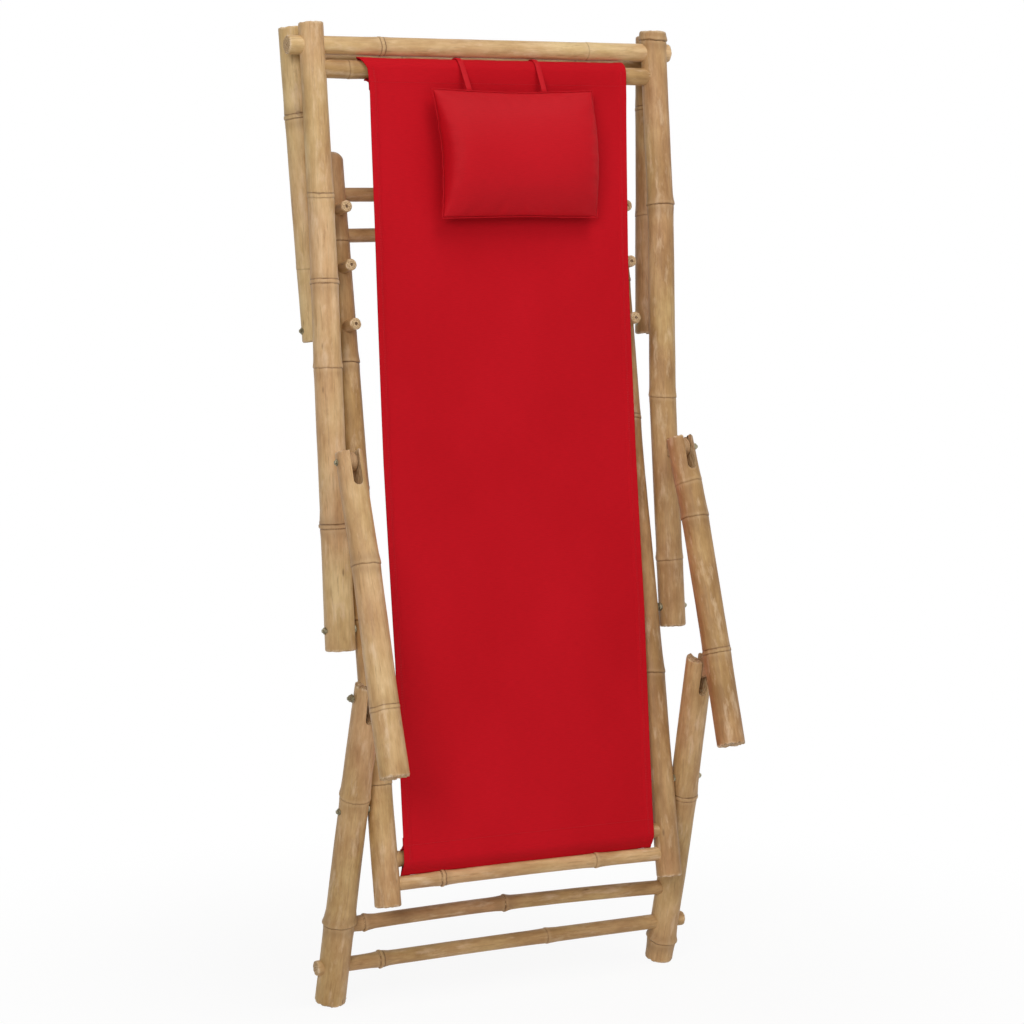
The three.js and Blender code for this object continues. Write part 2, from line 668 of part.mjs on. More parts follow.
// Head pillow: two crowned faces that meet in the seam, with sides drawn in between the corners.
function pillowSolid() {
  const row = pillowStepsWide + 1;
  const column = pillowStepsHigh + 1;
  const front = [];
  const back = [];
  const corners = [];
  const addCorner = (x, y, z) => {
    corners.push(x, y, z);
    return corners.length / 3 - 1;
  };
  for (let j = 0; j < column; j += 1) {
    for (let i = 0; i < row; i += 1) {
      const u = (2 * i) / pillowStepsWide - 1;
      const v = (2 * j) / pillowStepsHigh - 1;
      const x = (pillowWidth / 2) * u * (1 - pillowDrawInShare * u * u * (1 - v * v));
      const z = (pillowHeight / 2) * v * (1 - pillowDrawInShare * v * v * (1 - u * u));
      const crown = ((1 - u ** 4) * (1 - v ** 4)) ** pillowCrownShare;
      const edge = crown === 0;
      const frontCorner = addCorner(x, -pillowFrontBulge * crown, z);
      front.push(frontCorner);
      back.push(edge ? frontCorner : addCorner(x, pillowBackBulge * crown, z));
    }
  }
  const faces = [];
  for (let j = 0; j < pillowStepsHigh; j += 1) {
    for (let i = 0; i < pillowStepsWide; i += 1) {
      const k = j * row + i;
      faces.push(front[k], front[k + 1], front[k + row + 1], front[k], front[k + row + 1], front[k + row]);
      faces.push(back[k], back[k + row + 1], back[k + 1], back[k], back[k + row], back[k + row + 1]);
    }
  }
  const geometry = new THREE.BufferGeometry();
  geometry.setAttribute('position', new THREE.BufferAttribute(new Float32Array(corners), 3));
  geometry.setIndex(faces);
  return solidOf(geometry);
}

const loopInner = boreRadius(upperHemOuter, poleSides);
const loopOuter = loopInner + loopThickness;
const pillowSeamY = -(loopOuter + pillowBackBulge);
addPiece(backFrame, 'pillow', pillowSolid(), pillowCloth)
  .position.set(pillowCentreX, pillowSeamY, upperHemHeight - pillowTopBelowHem - pillowHeight / 2);

// Loops: a ribbon from the pillow's seam that goes over the upper hem and is caught behind it.
function arcBand(inner, outer, fromAngle, toAngle, steps) {
  const at = (radius, i) => {
    const angle = degrees(fromAngle + (toAngle - fromAngle) * (i / steps));
    return new THREE.Vector2(radius * Math.cos(angle), radius * Math.sin(angle));
  };
  const outline = [];
  for (let i = 0; i <= steps; i += 1) outline.push(at(outer, i));
  for (let i = steps; i >= 0; i -= 1) outline.push(at(inner, i));
  return new THREE.Shape(outline);
}

for (const side of sides) {
  const x = loopPlacesX[side.index];
  const loopShare = (x - pillowCentreX) / (pillowWidth / 2);
  const seamDrop = (pillowHeight / 2) * pillowDrawInShare * (1 - loopShare ** 2);
  const half = loopThickness / 2;
  const strapStart = -(loopInner + half);
  const strapEnd = seatGap - pillowTopBelowHem - seamDrop;
  const strap = new THREE.Shape([
    new THREE.Vector2(strapStart, half),
    new THREE.Vector2(strapStart - half, 0),
    new THREE.Vector2(pillowSeamY - half, strapEnd),
    new THREE.Vector2(pillowSeamY + half, strapEnd),
    new THREE.Vector2(strapStart + half, 0),
  ]);
  const overHem = arcBand(loopInner, loopOuter, -loopCatchAngle, 180, loopSteps);
  const loop = extrudeAlongX(overHem, loopWidth, x).add(extrudeAlongX(strap, loopWidth, x));
  addPiece(backFrame, `pillow_loop_${side.name}`, loop, pillowCloth).position.z = upperHemHeight;
}

// The origin lies under the middle of the chair, on the floor that its feet stand on.
recliner.updateMatrixWorld(true);
const box = new THREE.Box3().setFromObject(recliner, true);
const middle = box.getCenter(new THREE.Vector3());
recliner.position.set(-middle.x, -middle.y, -box.min.z);
recliner.updateMatrixWorld(true);

export default recliner;
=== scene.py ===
import json
import math
from functools import partial

import bmesh
import bpy
import numpy as np
from mathutils import Matrix, Vector


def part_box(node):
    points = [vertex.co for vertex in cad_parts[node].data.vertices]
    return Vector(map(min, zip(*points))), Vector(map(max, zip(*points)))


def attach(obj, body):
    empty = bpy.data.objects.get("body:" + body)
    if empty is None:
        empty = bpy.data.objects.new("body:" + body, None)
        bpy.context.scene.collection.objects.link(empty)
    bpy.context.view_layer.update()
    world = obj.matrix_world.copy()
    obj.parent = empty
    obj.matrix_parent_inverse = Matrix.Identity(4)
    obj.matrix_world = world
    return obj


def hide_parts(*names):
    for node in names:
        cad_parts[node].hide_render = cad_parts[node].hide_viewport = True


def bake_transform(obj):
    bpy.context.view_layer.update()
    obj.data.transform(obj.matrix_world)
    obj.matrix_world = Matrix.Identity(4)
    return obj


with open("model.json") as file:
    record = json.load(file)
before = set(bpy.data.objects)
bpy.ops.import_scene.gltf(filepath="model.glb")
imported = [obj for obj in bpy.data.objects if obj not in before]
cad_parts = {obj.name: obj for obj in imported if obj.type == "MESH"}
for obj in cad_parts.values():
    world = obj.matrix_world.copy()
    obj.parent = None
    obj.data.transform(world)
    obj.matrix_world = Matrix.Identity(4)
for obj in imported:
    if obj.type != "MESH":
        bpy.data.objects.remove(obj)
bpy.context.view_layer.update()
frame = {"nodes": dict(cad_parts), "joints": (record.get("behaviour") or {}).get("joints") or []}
hinge = {joint["name"]: Vector(joint["pos_m"]) for joint in frame["joints"]}


# SEAT RAILS. Two thin solid bamboo poles, a little crooked, with their rings left on.
# They carry the hinges of the back and the legs. Each pole is one sweep of a round profile
# along its own axis, with rings, worn edges, lumps and a pith hole worked out from its sizes.
def step(tree, kind, feeds=None, **settings):
    """Adds a node. Feeds gives its inputs, by number or name, a value or another node's output."""
    node = tree.nodes.new(kind)
    for name, value in settings.items():
        setattr(node, name, value)
    for key, value in (feeds or {}).items():
        if isinstance(key, int):
            socket = node.inputs[key]
        else:
            socket = next(s for s in node.inputs if s.name == key and s.enabled)
        if isinstance(value, bpy.types.NodeSocket):
            tree.links.new(value, socket)
        else:
            socket.default_value = value
    return node


def tree_of(*values):
    """The tree that the first socket among these values belongs to."""
    return next(value.id_data for value in values if isinstance(value, bpy.types.NodeSocket))


def calc(operation, *values, kind="ShaderNodeMath"):
    """One sum on values and nodes' outputs, in the tree that these outputs belong to."""
    return step(tree_of(*values), kind, dict(enumerate(values)), operation=operation).outputs[0]


times = partial(calc, "MULTIPLY")
times_plus = partial(calc, "MULTIPLY_ADD")
plus = partial(calc, "ADD")
minus = partial(calc, "SUBTRACT")
over = partial(calc, "DIVIDE")
at_least = partial(calc, "MAXIMUM")
at_most = partial(calc, "MINIMUM")
above = partial(calc, "GREATER_THAN")
below = partial(calc, "LESS_THAN")
size_of = partial(calc, "ABSOLUTE")
moved_by = partial(calc, "ADD", kind="ShaderNodeVectorMath")
stretched_by = partial(calc, "MULTIPLY", kind="ShaderNodeVectorMath")


def point(x=0.0, y=0.0, z=0.0):
    return step(tree_of(x, y, z), "ShaderNodeCombineXYZ", {0: x, 1: y, 2: z}).outputs[0]


def length_of(vector):
    return step(tree_of(vector), "ShaderNodeVectorMath", {0: vector}, operation="LENGTH").outputs["Value"]


def bell(distance, width):
    """1 where the distance is nothing, and falling away on both sides over about the width."""
    share = over(distance, width)
    return calc("EXPONENT", times(times(share, share), -1))


def new_tree(name, inputs):
    tree = bpy.data.node_groups.new(name, "GeometryNodeTree")
    tree.interface.new_socket("Geometry", in_out="INPUT", socket_type="NodeSocketGeometry")
    tree.interface.new_socket("Geometry", in_out="OUTPUT", socket_type="NodeSocketGeometry")
    for label, kind in inputs:
        tree.interface.new_socket(label, in_out="INPUT", socket_type="NodeSocket" + kind)
    given = tree.nodes.new("NodeGroupInput").outputs
    return tree, given


def end_tree(geometry, finish, sharp_past=None):
    """Ends a tree. Edges bent past sharp_past degrees stay crisp and the rest is shaded smooth."""
    tree = tree_of(geometry)
    if sharp_past:
        bend = step(tree, "GeometryNodeInputMeshEdgeAngle").outputs[0]
        geometry = step(tree, "GeometryNodeSetShadeSmooth", {"Geometry": geometry, "Shade Smooth": True},
                        domain="FACE").outputs[0]
        bent = above(bend, math.radians(sharp_past))
        crisp = {"Geometry": geometry, "Selection": bent, "Shade Smooth": False}
        geometry = step(tree, "GeometryNodeSetShadeSmooth", crisp, domain="EDGE").outputs[0]
    whole = step(tree, "GeometryNodeRealizeInstances", {"Geometry": geometry}).outputs[0]
    painted = step(tree, "GeometryNodeSetMaterial", {"Geometry": whole, "Material": finish}).outputs[0]
    step(tree, "NodeGroupOutput", {"Geometry": painted})


def keep_result(piece):
    """Turns what a piece's modifiers make into its plain mesh."""
    bpy.context.view_layer.update()
    depsgraph = bpy.context.evaluated_depsgraph_get()
    made = bpy.data.meshes.new_from_object(
        piece.evaluated_get(depsgraph), preserve_all_data_layers=True, depsgraph=depsgraph
    )
    piece.modifiers.clear()
    piece.data = made


def run_tree(tree, piece, values):
    modifier = piece.modifiers.new(tree.name, "NODES")
    modifier.node_group = tree
    for item in tree.interface.items_tree:
        if item.in_out == "INPUT" and item.name in values:
            modifier[item.identifier] = values[item.name]
    keep_result(piece)
    return piece


def mesh_object(name, points, edges=(), faces=()):
    mesh = bpy.data.meshes.new(name)
    mesh.from_pydata([tuple(p) for p in points], list(edges), list(faces))
    piece = bpy.data.objects.new(name, mesh)
    bpy.context.scene.collection.objects.link(piece)
    return piece


ring_labels = ["Ring 1", "Ring 2", "Ring 3", "Ring 4", "Ring 5"]
pole_sizes = [
    "Start", "End", "Low Radius", "High Radius", *ring_labels, "Ring Swell", "Bow X", "Bow Y",
    "Lumps", "Seed", "Tone", "Slot Side", "Slot Bottom", "Slot Shift", "Slot Width",
    "Pith Share", "Pith Depth", "Dome", "Chips",
]
pole_tree, given = new_tree(
    "Bamboo pole", [(label, "Float") for label in pole_sizes] + [("Sides", "Int"), ("Finish", "Material")])
swell_height, swell_reach = 0.0013, 0.011
ridge_height, ridge_gap, ridge_reach = 0.0002, 0.0030, 0.0026
line_depth, line_width = 0.0006, 0.0009
second_line_gap, doubled_past = 0.0064, 0.72
worn_depth, worn_reach = 0.0020, 0.0022
dome_share = 0.84


def height_here():
    place = step(pole_tree, "GeometryNodeInputPosition").outputs[0]
    return place, step(pole_tree, "ShaderNodeSeparateXYZ", {0: place}).outputs


def facing_here():
    normal = step(pole_tree, "GeometryNodeInputNormal").outputs[0]
    return normal, step(pole_tree, "ShaderNodeSeparateXYZ", {0: normal}).outputs


def gap_to_ring(height):
    """Distance to the nearest ring, and 1 on the ring's upper side or 0 on its lower side."""
    nearest = None
    for label in ring_labels:
        one = minus(height, given[label])
        if nearest is None:
            nearest = one
            continue
        closer = below(size_of(one), size_of(nearest))
        nearest = times_plus(closer, minus(one, nearest), nearest)
    return size_of(nearest), above(nearest, 0.0)


def ring_noise(height, offset):
    """A steady value from 0 to 1 round each ring, so that no two rings of a pole are alike."""
    place = point(given["Seed"], offset, times(height, 9.0))
    level = step(pole_tree, "ShaderNodeTexNoise", {"Vector": place, "Scale": 1.0, "Detail": 0.0}).outputs[0]
    return step(pole_tree, "ShaderNodeMapRange", {0: level, 1: 0.36, 2: 0.64, 3: 0.0, 4: 1.0}).outputs[0]


def is_doubled(height, upper_side):
    """1 on the upper side of the few rings that show a second line."""
    return times(above(ring_noise(height, 7.0), doubled_past), upper_side)


def gap_to_end(height):
    return at_most(minus(height, given["Start"]), minus(given["End"], height))


place, parts = height_here()
height = parts["Z"]
length = minus(given["End"], given["Start"])
share = over(minus(height, given["Start"]), length)
radius = times_plus(minus(given["High Radius"], given["Low Radius"]), share, given["Low Radius"])
gap, upper_side = gap_to_ring(height)
swell = times(bell(gap, swell_reach), times_plus(upper_side, 0.6, 0.4))
ridge = times(bell(minus(gap, ridge_gap), ridge_reach), times_plus(upper_side, 0.9, 0.1))
line = bell(gap, line_width)
second_line = times(bell(minus(gap, second_line_gap), line_width), is_doubled(height, upper_side))
boldness = times(times_plus(ring_noise(height, 1.0), 0.7, 0.4), given["Ring Swell"])
for form, size in (
        (swell, swell_height), (ridge, ridge_height), (line, -line_depth), (second_line, -line_depth)):
    radius = times_plus(times(form, boldness), size, radius)
worn = at_least(minus(1.0, over(gap_to_end(height), worn_reach)), 0.0)
radius = times_plus(times(worn, worn), -worn_depth, radius)
into_dome = at_least(minus(1.0, over(minus(given["End"], height), given["Dome"])), 0.0)
into_dome = times(times(into_dome, into_dome), -dome_share)
radius = times(radius, calc("SQRT", plus(into_dome, 1.0)))
axis = step(pole_tree, "GeometryNodeMeshToCurve", {"Mesh": given["Geometry"]}).outputs[0]
profile = step(pole_tree, "GeometryNodeCurvePrimitiveCircle", {"Resolution": given["Sides"], "Radius": 1.0})
swept = step(pole_tree, "GeometryNodeCurveToMesh", {
    "Curve": axis, "Profile Curve": profile.outputs[0], "Scale": radius, "Fill Caps": True}).outputs[0]


def store(geometry, name, value, domain="POINT", data_type="FLOAT"):
    feeds = {"Geometry": geometry, "Name": name, "Value": value}
    return step(pole_tree, "GeometryNodeStoreNamedAttribute", feeds,
                data_type=data_type, domain=domain).outputs[0]


# Lumps follow the fibres, so they are longer along the pole than across it. Each ring leans a little,
# wavers, and may carry the scar of a cut-off shoot on one side. The sawn rims chip, and the bow comes last.
place, parts = height_here()
height = parts["Z"]
seed_offset = point(given["Seed"], given["Seed"])


def pole_noise(scale, detail=2.0):
    shifted = moved_by(stretched_by(place, scale), seed_offset)
    return minus(step(pole_tree, "ShaderNodeTexNoise",
                      {"Vector": shifted, "Scale": 1.0, "Detail": detail}).outputs[0], 0.5)


lump = times(pole_noise((30.0, 30.0, 6.0)), times(given["Lumps"], 3.0))
lump = times_plus(pole_noise((110.0, 110.0, 22.0), 3.0), given["Lumps"], lump)
rough_edge = pole_noise((260.0, 260.0, 260.0))
bud_above_ring = 0.006
scar = None
for number, label in enumerate(ring_labels):
    turn = times_plus(given["Seed"], 1.7, 2.6 * number)
    bud_x, bud_y = (times(calc(form, turn), given["Low Radius"]) for form in ("COSINE", "SINE"))
    bud = point(bud_x, bud_y, plus(given[label], bud_above_ring))
    away = stretched_by(calc("SUBTRACT", place, bud, kind="ShaderNodeVectorMath"), (0.8, 0.8, 1.3))
    away = times_plus(rough_edge, 0.006, length_of(away))
    grown = ring_noise(given[label], 11.0)
    one = times(bell(away, times(given["Low Radius"], 0.24)), times(grown, grown))
    scar = one if scar is None else at_least(scar, one)
lump = times_plus(scar, times(given["Low Radius"], 0.05), lump)
outward = stretched_by(facing_here()[0], (1.0, 1.0, 0.0))
push = step(pole_tree, "ShaderNodeVectorMath", {0: outward, "Scale": lump}, operation="SCALE").outputs[0]
gap, upper_side = gap_to_ring(height)
lean_x, lean_y = (times(minus(ring_noise(height, offset), 0.5), 0.16) for offset in (3.0, 5.0))
waver = times(pole_noise((95.0, 95.0, 6.0)), 0.0032)
rise = times_plus(parts["X"], lean_x, times_plus(parts["Y"], lean_y, waver))
rise = times(rise, bell(gap, 0.02))
end_gap = gap_to_end(height)
inward = times_plus(above(minus(height, given["Start"]), times(length, 0.5)), -2.0, 1.0)
chipped = times(size_of(pole_noise((150.0, 150.0, 20.0), 4.0)), times(given["Chips"], 7.0))
chipped = times(chipped, times(bell(end_gap, 0.006), inward))
marked = swept
for name, value in (("ring_gap", gap), ("ring_bold", ring_noise(height, 1.0)),
                    ("ring_double", is_doubled(height, upper_side)), ("scar", scar), ("end_gap", end_gap)):
    marked = store(marked, name, value)
share = over(minus(height, given["Start"]), length)
arc = times(times(share, minus(1.0, share)), 4.0)
offset = moved_by(push, point(0.0, 0.0, plus(rise, chipped)))
offset = moved_by(offset, point(times(given["Bow X"], arc), times(given["Bow Y"], arc)))
bowed = step(pole_tree, "GeometryNodeSetPosition", {"Geometry": marked, "Offset": offset}).outputs[0]

# The sawn ends are drawn in to the pith, and a fork's slot is cut through the end that has one.
facing = facing_here()[1]
sawn = above(size_of(facing["Z"]), 0.85)
first = step(pole_tree, "GeometryNodeExtrudeMesh",
             {"Mesh": bowed, "Selection": sawn, "Offset Scale": 0.0, "Individual": True}, mode="FACES")
drawn = step(pole_tree, "GeometryNodeScaleElements", {
    "Geometry": first.outputs[0], "Selection": first.outputs[1], "Scale": given["Pith Share"]})
second = step(pole_tree, "GeometryNodeExtrudeMesh", {
    "Mesh": drawn.outputs[0], "Selection": first.outputs[1], "Individual": True,
    "Offset Scale": times(given["Pith Depth"], -1.0)}, mode="FACES").outputs[0]
slot_reach, slot_through = 0.06, 0.1
slot_ends = step(pole_tree, "GeometryNodeJoinGeometry")
far_end = step(pole_tree, "GeometryNodeMeshCube", {"Size": point(given["Slot Width"], slot_through, 0.02)})
round_end = step(pole_tree, "GeometryNodeMeshCylinder", {
    "Vertices": 24, "Radius": times(given["Slot Width"], 0.5), "Depth": slot_through})
for end, turn, at in (
        (far_end, (0.0, 0.0, 0.0), times_plus(given["Slot Side"], slot_reach, given["Slot Bottom"])),
        (round_end, (math.pi / 2, 0.0, 0.0), given["Slot Bottom"])):
    put = step(pole_tree, "GeometryNodeTransform", {
        "Geometry": end.outputs[0], "Rotation": turn, "Translation": point(given["Slot Shift"], 0.0, at)})
    pole_tree.links.new(put.outputs[0], slot_ends.inputs[0])
cutter = step(pole_tree, "GeometryNodeConvexHull", {0: slot_ends.outputs[0]}).outputs[0]
slotted = step(pole_tree, "GeometryNodeMeshBoolean", {0: second, "Mesh 2": cutter}, operation="DIFFERENCE")
has_slot = above(size_of(given["Slot Side"]), 0.5)
chosen = step(pole_tree, "GeometryNodeSwitch", {
    "Switch": has_slot, "False": second, "True": slotted.outputs[0]}, input_type="GEOMETRY").outputs[0]

# What the finish needs to know about each place: its own run of grain, its tone, how far it lies from the
# axis (for the painted shade in the pith hole) and if it is a cut face.
place, parts = height_here()
facing = facing_here()[1]
marked = store(chosen, "grain", moved_by(place, seed_offset), data_type="FLOAT_VECTOR")
marked = store(marked, "tone", given["Tone"])
marked = store(marked, "from_axis", length_of(point(parts["X"], parts["Y"])))
past_bottom = times(minus(parts["Z"], given["Slot Bottom"]), given["Slot Side"])
in_slot = above(past_bottom, times(given["Slot Width"], -0.6))
from_slot = size_of(minus(parts["X"], given["Slot Shift"]))
in_slot = times(in_slot, below(from_slot, times(given["Slot Width"], 0.53)))
in_slot = times(in_slot, below(size_of(facing["Y"]), 0.4))
in_slot = times(in_slot, has_slot)
marked = store(marked, "cut_face", at_least(in_slot, above(size_of(facing["Z"]), 0.85)), domain="FACE")
end_tree(marked, given["Finish"], sharp_past=36)


def attribute(tree, name, output):
    return step(tree, "ShaderNodeAttribute", attribute_name=name).outputs[output]


def scaled(place, scale):
    return step(tree_of(place), "ShaderNodeMapping", {"Vector": place, "Scale": scale}).outputs[0]


def noise_of(place, scale, detail=3.0, roughness=0.5):
    return step(tree_of(place), "ShaderNodeTexNoise", {
        "Vector": scaled(place, scale), "Scale": 1.0, "Detail": detail, "Roughness": roughness}).outputs[0]


def ramp(value, stops):
    """Colours at values between 0 and 1, blended from each stop to the next."""
    node = step(tree_of(value), "ShaderNodeValToRGB", {0: value})
    elements = node.color_ramp.elements
    elements[0].position, elements[1].position = stops[0][0], stops[-1][0]
    elements[0].color, elements[1].color = (*stops[0][1], 1.0), (*stops[-1][1], 1.0)
    for place, colour in stops[1:-1]:
        elements.new(place).color = (*colour, 1.0)
    return node.outputs["Color"]


def mixed(factor, first, second, blend="MIX"):
    tree = tree_of(factor, first, second)
    node = step(tree, "ShaderNodeMix", data_type="RGBA", blend_type=blend, clamp_factor=True)
    sockets = [s for s in node.inputs if s.enabled]
    for socket, value in zip(sockets, (factor, first, second)):
        if isinstance(value, bpy.types.NodeSocket):
            tree.links.new(value, socket)
        else:
            socket.default_value = (*value, 1.0) if isinstance(value, tuple) else value
    return next(s for s in node.outputs if s.enabled)


def grey(level):
    return (level, level, level)


def new_finish(name, roughness, specular=0.5, metallic=0.0):
    finish = bpy.data.materials.new(name)
    finish.use_nodes = True
    shader = finish.node_tree.nodes["Principled BSDF"]
    shader.inputs["Roughness"].default_value = roughness
    shader.inputs["Specular IOR Level"].default_value = specular
    shader.inputs["Metallic"].default_value = metallic
    return finish, finish.node_tree, shader


def paint(shader, colour):
    shader.id_data.links.new(colour, shader.inputs["Base Color"])


def roughen(shader, relief, strength, depth):
    bump = step(tree_of(relief), "ShaderNodeBump", {
        "Height": relief, "Strength": strength, "Distance": depth})
    shader.id_data.links.new(bump.outputs[0], shader.inputs["Normal"])


bamboo_finish, tree, shader = new_finish("bamboo", 0.5, 0.3)
grain = attribute(tree, "grain", "Vector")
tone = attribute(tree, "tone", "Fac")
ring_gap = attribute(tree, "ring_gap", "Fac")
ring_bold = attribute(tree, "ring_bold", "Fac")
ring_double = attribute(tree, "ring_double", "Fac")
scar = attribute(tree, "scar", "Fac")
cut_face = attribute(tree, "cut_face", "Fac")
from_axis = attribute(tree, "from_axis", "Fac")
end_gap = attribute(tree, "end_gap", "Fac")
fibre = noise_of(grain, (520.0, 520.0, 22.0), 5.0, 0.6)
streak = noise_of(grain, (95.0, 95.0, 9.0), 4.0, 0.6)
patch = noise_of(grain, (26.0, 26.0, 12.0), 5.0, 0.62)
mottle = noise_of(grain, (150.0, 150.0, 42.0), 4.0, 0.6)
hue = noise_of(grain, (9.0, 9.0, 4.5), 2.0)
blend = plus(times(patch, 0.55), times(streak, 0.25))
blend = plus(blend, times(mottle, 0.2))
blend = plus(blend, times(minus(tone, 0.5), 0.42))
rosy = ramp(blend, [
    (0.30, (0.37, 0.190, 0.080)), (0.43, (0.515, 0.295, 0.137)),
    (0.54, (0.65, 0.405, 0.205)), (0.68, (0.80, 0.560, 0.325))])
olive = ramp(blend, [
    (0.30, (0.34, 0.190, 0.070)), (0.43, (0.49, 0.300, 0.122)),
    (0.54, (0.61, 0.410, 0.185)), (0.68, (0.77, 0.565, 0.290))])
skin = mixed(ramp(hue, [(0.38, grey(0.0)), (0.60, grey(1.0))]), rosy, olive)
skin = mixed(0.30, skin, ramp(fibre, [(0.3, grey(0.62)), (0.5, grey(0.96)), (0.75, grey(1.0))]), "MULTIPLY")
scratch = noise_of(grain, (330.0, 330.0, 24.0), 3.0, 0.6)
scratch = ramp(scratch, [(0.58, grey(0.0)), (0.68, grey(1.0))])
skin = mixed(times(scratch, 0.42), skin, (0.33, 0.175, 0.070))
smear = noise_of(grain, (62.0, 62.0, 16.0), 6.0, 0.7)
smear = ramp(smear, [(0.60, grey(0.0)), (0.70, grey(1.0))])
skin = mixed(times(smear, 0.42), skin, (0.30, 0.155, 0.062))
worn_pale = noise_of(grain, (80.0, 80.0, 20.0), 5.0, 0.65)
worn_pale = ramp(worn_pale, [(0.55, grey(0.0)), (0.68, grey(1.0))])
skin = mixed(times(worn_pale, 0.42), skin, (0.84, 0.635, 0.43))
around = noise_of(grain, (90.0, 90.0, 25.0), 3.0)
around = times_plus(around, 1.6, -0.12)
first_line = times(bell(ring_gap, line_width), times_plus(ring_bold, 0.55, 0.45))
next_line = times(bell(minus(ring_gap, second_line_gap), line_width), ring_double)
line = times(at_least(first_line, next_line), around)
band = times(bell(minus(ring_gap, 0.003), 0.0024), 0.16)
soot = times(bell(minus(ring_gap, 0.008), 0.009),
              times(times(patch, ring_bold), 0.75))
skin = mixed(band, skin, (0.74, 0.54, 0.32))
skin = mixed(soot, skin, (0.32, 0.18, 0.08))
skin = mixed(at_most(times(line, 0.95), 0.85), skin, (0.12, 0.056, 0.022))
scar_edge = bell(minus(scar, 0.45), 0.13)
skin = mixed(times(scar_edge, times(around, 0.55)), skin, (0.20, 0.105, 0.045))
chips = step(tree, "ShaderNodeTexVoronoi", {"Vector": scaled(grain, (34.0, 34.0, 11.0)), "Scale": 1.0})
chips = ramp(chips.outputs["Distance"], [(0.03, grey(1.0)), (0.075, grey(0.0))])
skin = mixed(times(chips, 0.6), skin, (0.17, 0.085, 0.035))
rim = bell(end_gap, 0.0026)
rim = times(rim, ramp(mottle, [(0.44, grey(0.15)), (0.58, grey(0.9))]))
skin = mixed(rim, skin, (0.86, 0.68, 0.47))
rim_dark = times(bell(end_gap, 0.0012), ramp(streak, [(0.46, grey(0.0)), (0.60, grey(0.75))]))
skin = mixed(rim_dark, skin, (0.26, 0.135, 0.055))
pores = noise_of(grain, (900.0, 900.0, 90.0), 2.0)
heart = ramp(pores, [(0.40, (0.36, 0.21, 0.095)), (0.60, (0.74, 0.55, 0.33))])
# Painted shade: cut faces within about 3 mm of the axis, at the bottom of the pith hole, are painted near
# black as if deep in shadow.
pith = ramp(times(from_axis, 100.0), [(0.16, grey(1.0)), (0.30, grey(0.0))])
heart = mixed(pith, heart, (0.10, 0.05, 0.022))
skin = mixed(cut_face, skin, heart)
paint(shader, skin)
sheen = times_plus(streak, 0.25, 0.36)
tree.links.new(times_plus(cut_face, 0.25, sheen), shader.inputs["Roughness"])
relief = plus(times(fibre, 0.35), times(mottle, 0.8))
relief = minus(relief, times(smear, 0.25))
roughen(shader, relief, 0.5, 0.0014)


def frame_at(pivot, lean):
    return Matrix.Translation(pivot) @ Matrix.Rotation(math.radians(lean), 4, "X")


slot_width, pith_depth = 0.0138, 0.006
row_spacing, ring_row_spacing, ring_rows_reach = 0.014, 0.0007, 0.009
end_row_insets = (0.0004, 0.0009, 0.0015, 0.0022, 0.0035, 0.005, 0.007, 0.0095, 0.0125)
no_ring_height = 9.0


def grow_bamboo(node, body, place, start, end, radii, rings=(), bow=(0.0, 0.0), tone=0.5, seed=0.0,
                slot=(0.0, 0.0, 0.0), sides=48, lumps=0.0007, pith=0.16, bends=((0.0, 0.0), (1.0, 0.0)),
                swell=1.0, dome=0.0001, chips=0.0010):
    """slot is its side, up or down, then where its bottom is and how far it lies off the middle.
    bends lists how far the pole strays sideways at shares of its length, a kink at each."""
    heights = set(np.round(np.linspace(start, end, max(3, int((end - start) / row_spacing))), 5))
    for ring in rings:
        ring_rows = np.arange(-ring_rows_reach, ring_rows_reach + 0.0001, ring_row_spacing)
        heights |= set(np.round(ring + ring_rows, 5))
    for inset in end_row_insets:
        heights |= {round(start + inset, 5), round(end - inset, 5)}
    heights = sorted(h for h in heights if start <= h <= end)
    kinks = [start + share * (end - start) for share, _ in bends]
    strays = np.interp(heights, kinks, [stray for _, stray in bends])
    piece = mesh_object(node + "_bamboo", [(float(x), 0, h) for x, h in zip(strays, heights)],
                        edges=[(i, i + 1) for i in range(len(heights) - 1)])
    values = {"Start": start, "End": end, "Low Radius": radii[0], "High Radius": radii[1],
              "Bow X": bow[0], "Bow Y": bow[1], "Lumps": lumps, "Seed": seed, "Tone": tone,
              "Slot Side": slot[0], "Slot Bottom": slot[1], "Slot Shift": slot[2], "Slot Width": slot_width,
              "Pith Share": pith, "Pith Depth": pith_depth, "Ring Swell": swell, "Dome": dome, "Chips": chips,
              "Sides": sides, "Finish": bamboo_finish}
    for number, label in enumerate(ring_labels):
        values[label] = rings[number] if number < len(rings) else no_ring_height
    run_tree(pole_tree, piece, values)
    piece.data.transform(place)
    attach(piece, body)
    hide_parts(node)
    return piece


outer_pole_x = 0.270
seat_rail_x = 0.227
seat_low, seat_high = -0.398, 0.680
seat_place = frame_at(hinge["back_fold"], -9.3)
seat_rings = {"left": (0.163, 0.38, 0.55, 0.719, 0.88), "right": (0.279, 0.63, 0.82)}
seat_bends = {"left": ((0, 0.0), (0.38, -0.001), (0.719, -0.0015), (1, -0.002)),
              "right": ((0, 0.001), (0.283, 0.0), (0.55, -0.0055), (1, -0.0045))}
for side, sign, radii, bow, tone, seed in (
        ("left", -1, (0.019, 0.018), (0.001, 0.0015), 0.34, 3.1),
        ("right", 1, (0.0186, 0.018), (0.0, 0.001), 0.24, 8.4)):
    rings = tuple(seat_low + share * (seat_high - seat_low) for share in seat_rings[side])
    sawn_low = seat_low + (0.0035 if sign < 0 else 0.0)
    place = seat_place @ Matrix.Translation((sign * seat_rail_x, 0, 0))
    grow_bamboo("seat_rail_" + side, "seat_frame", place, sawn_low, seat_high, radii, rings, bow, tone, seed,
                bends=seat_bends[side], dome=0.013, pith=0.3)


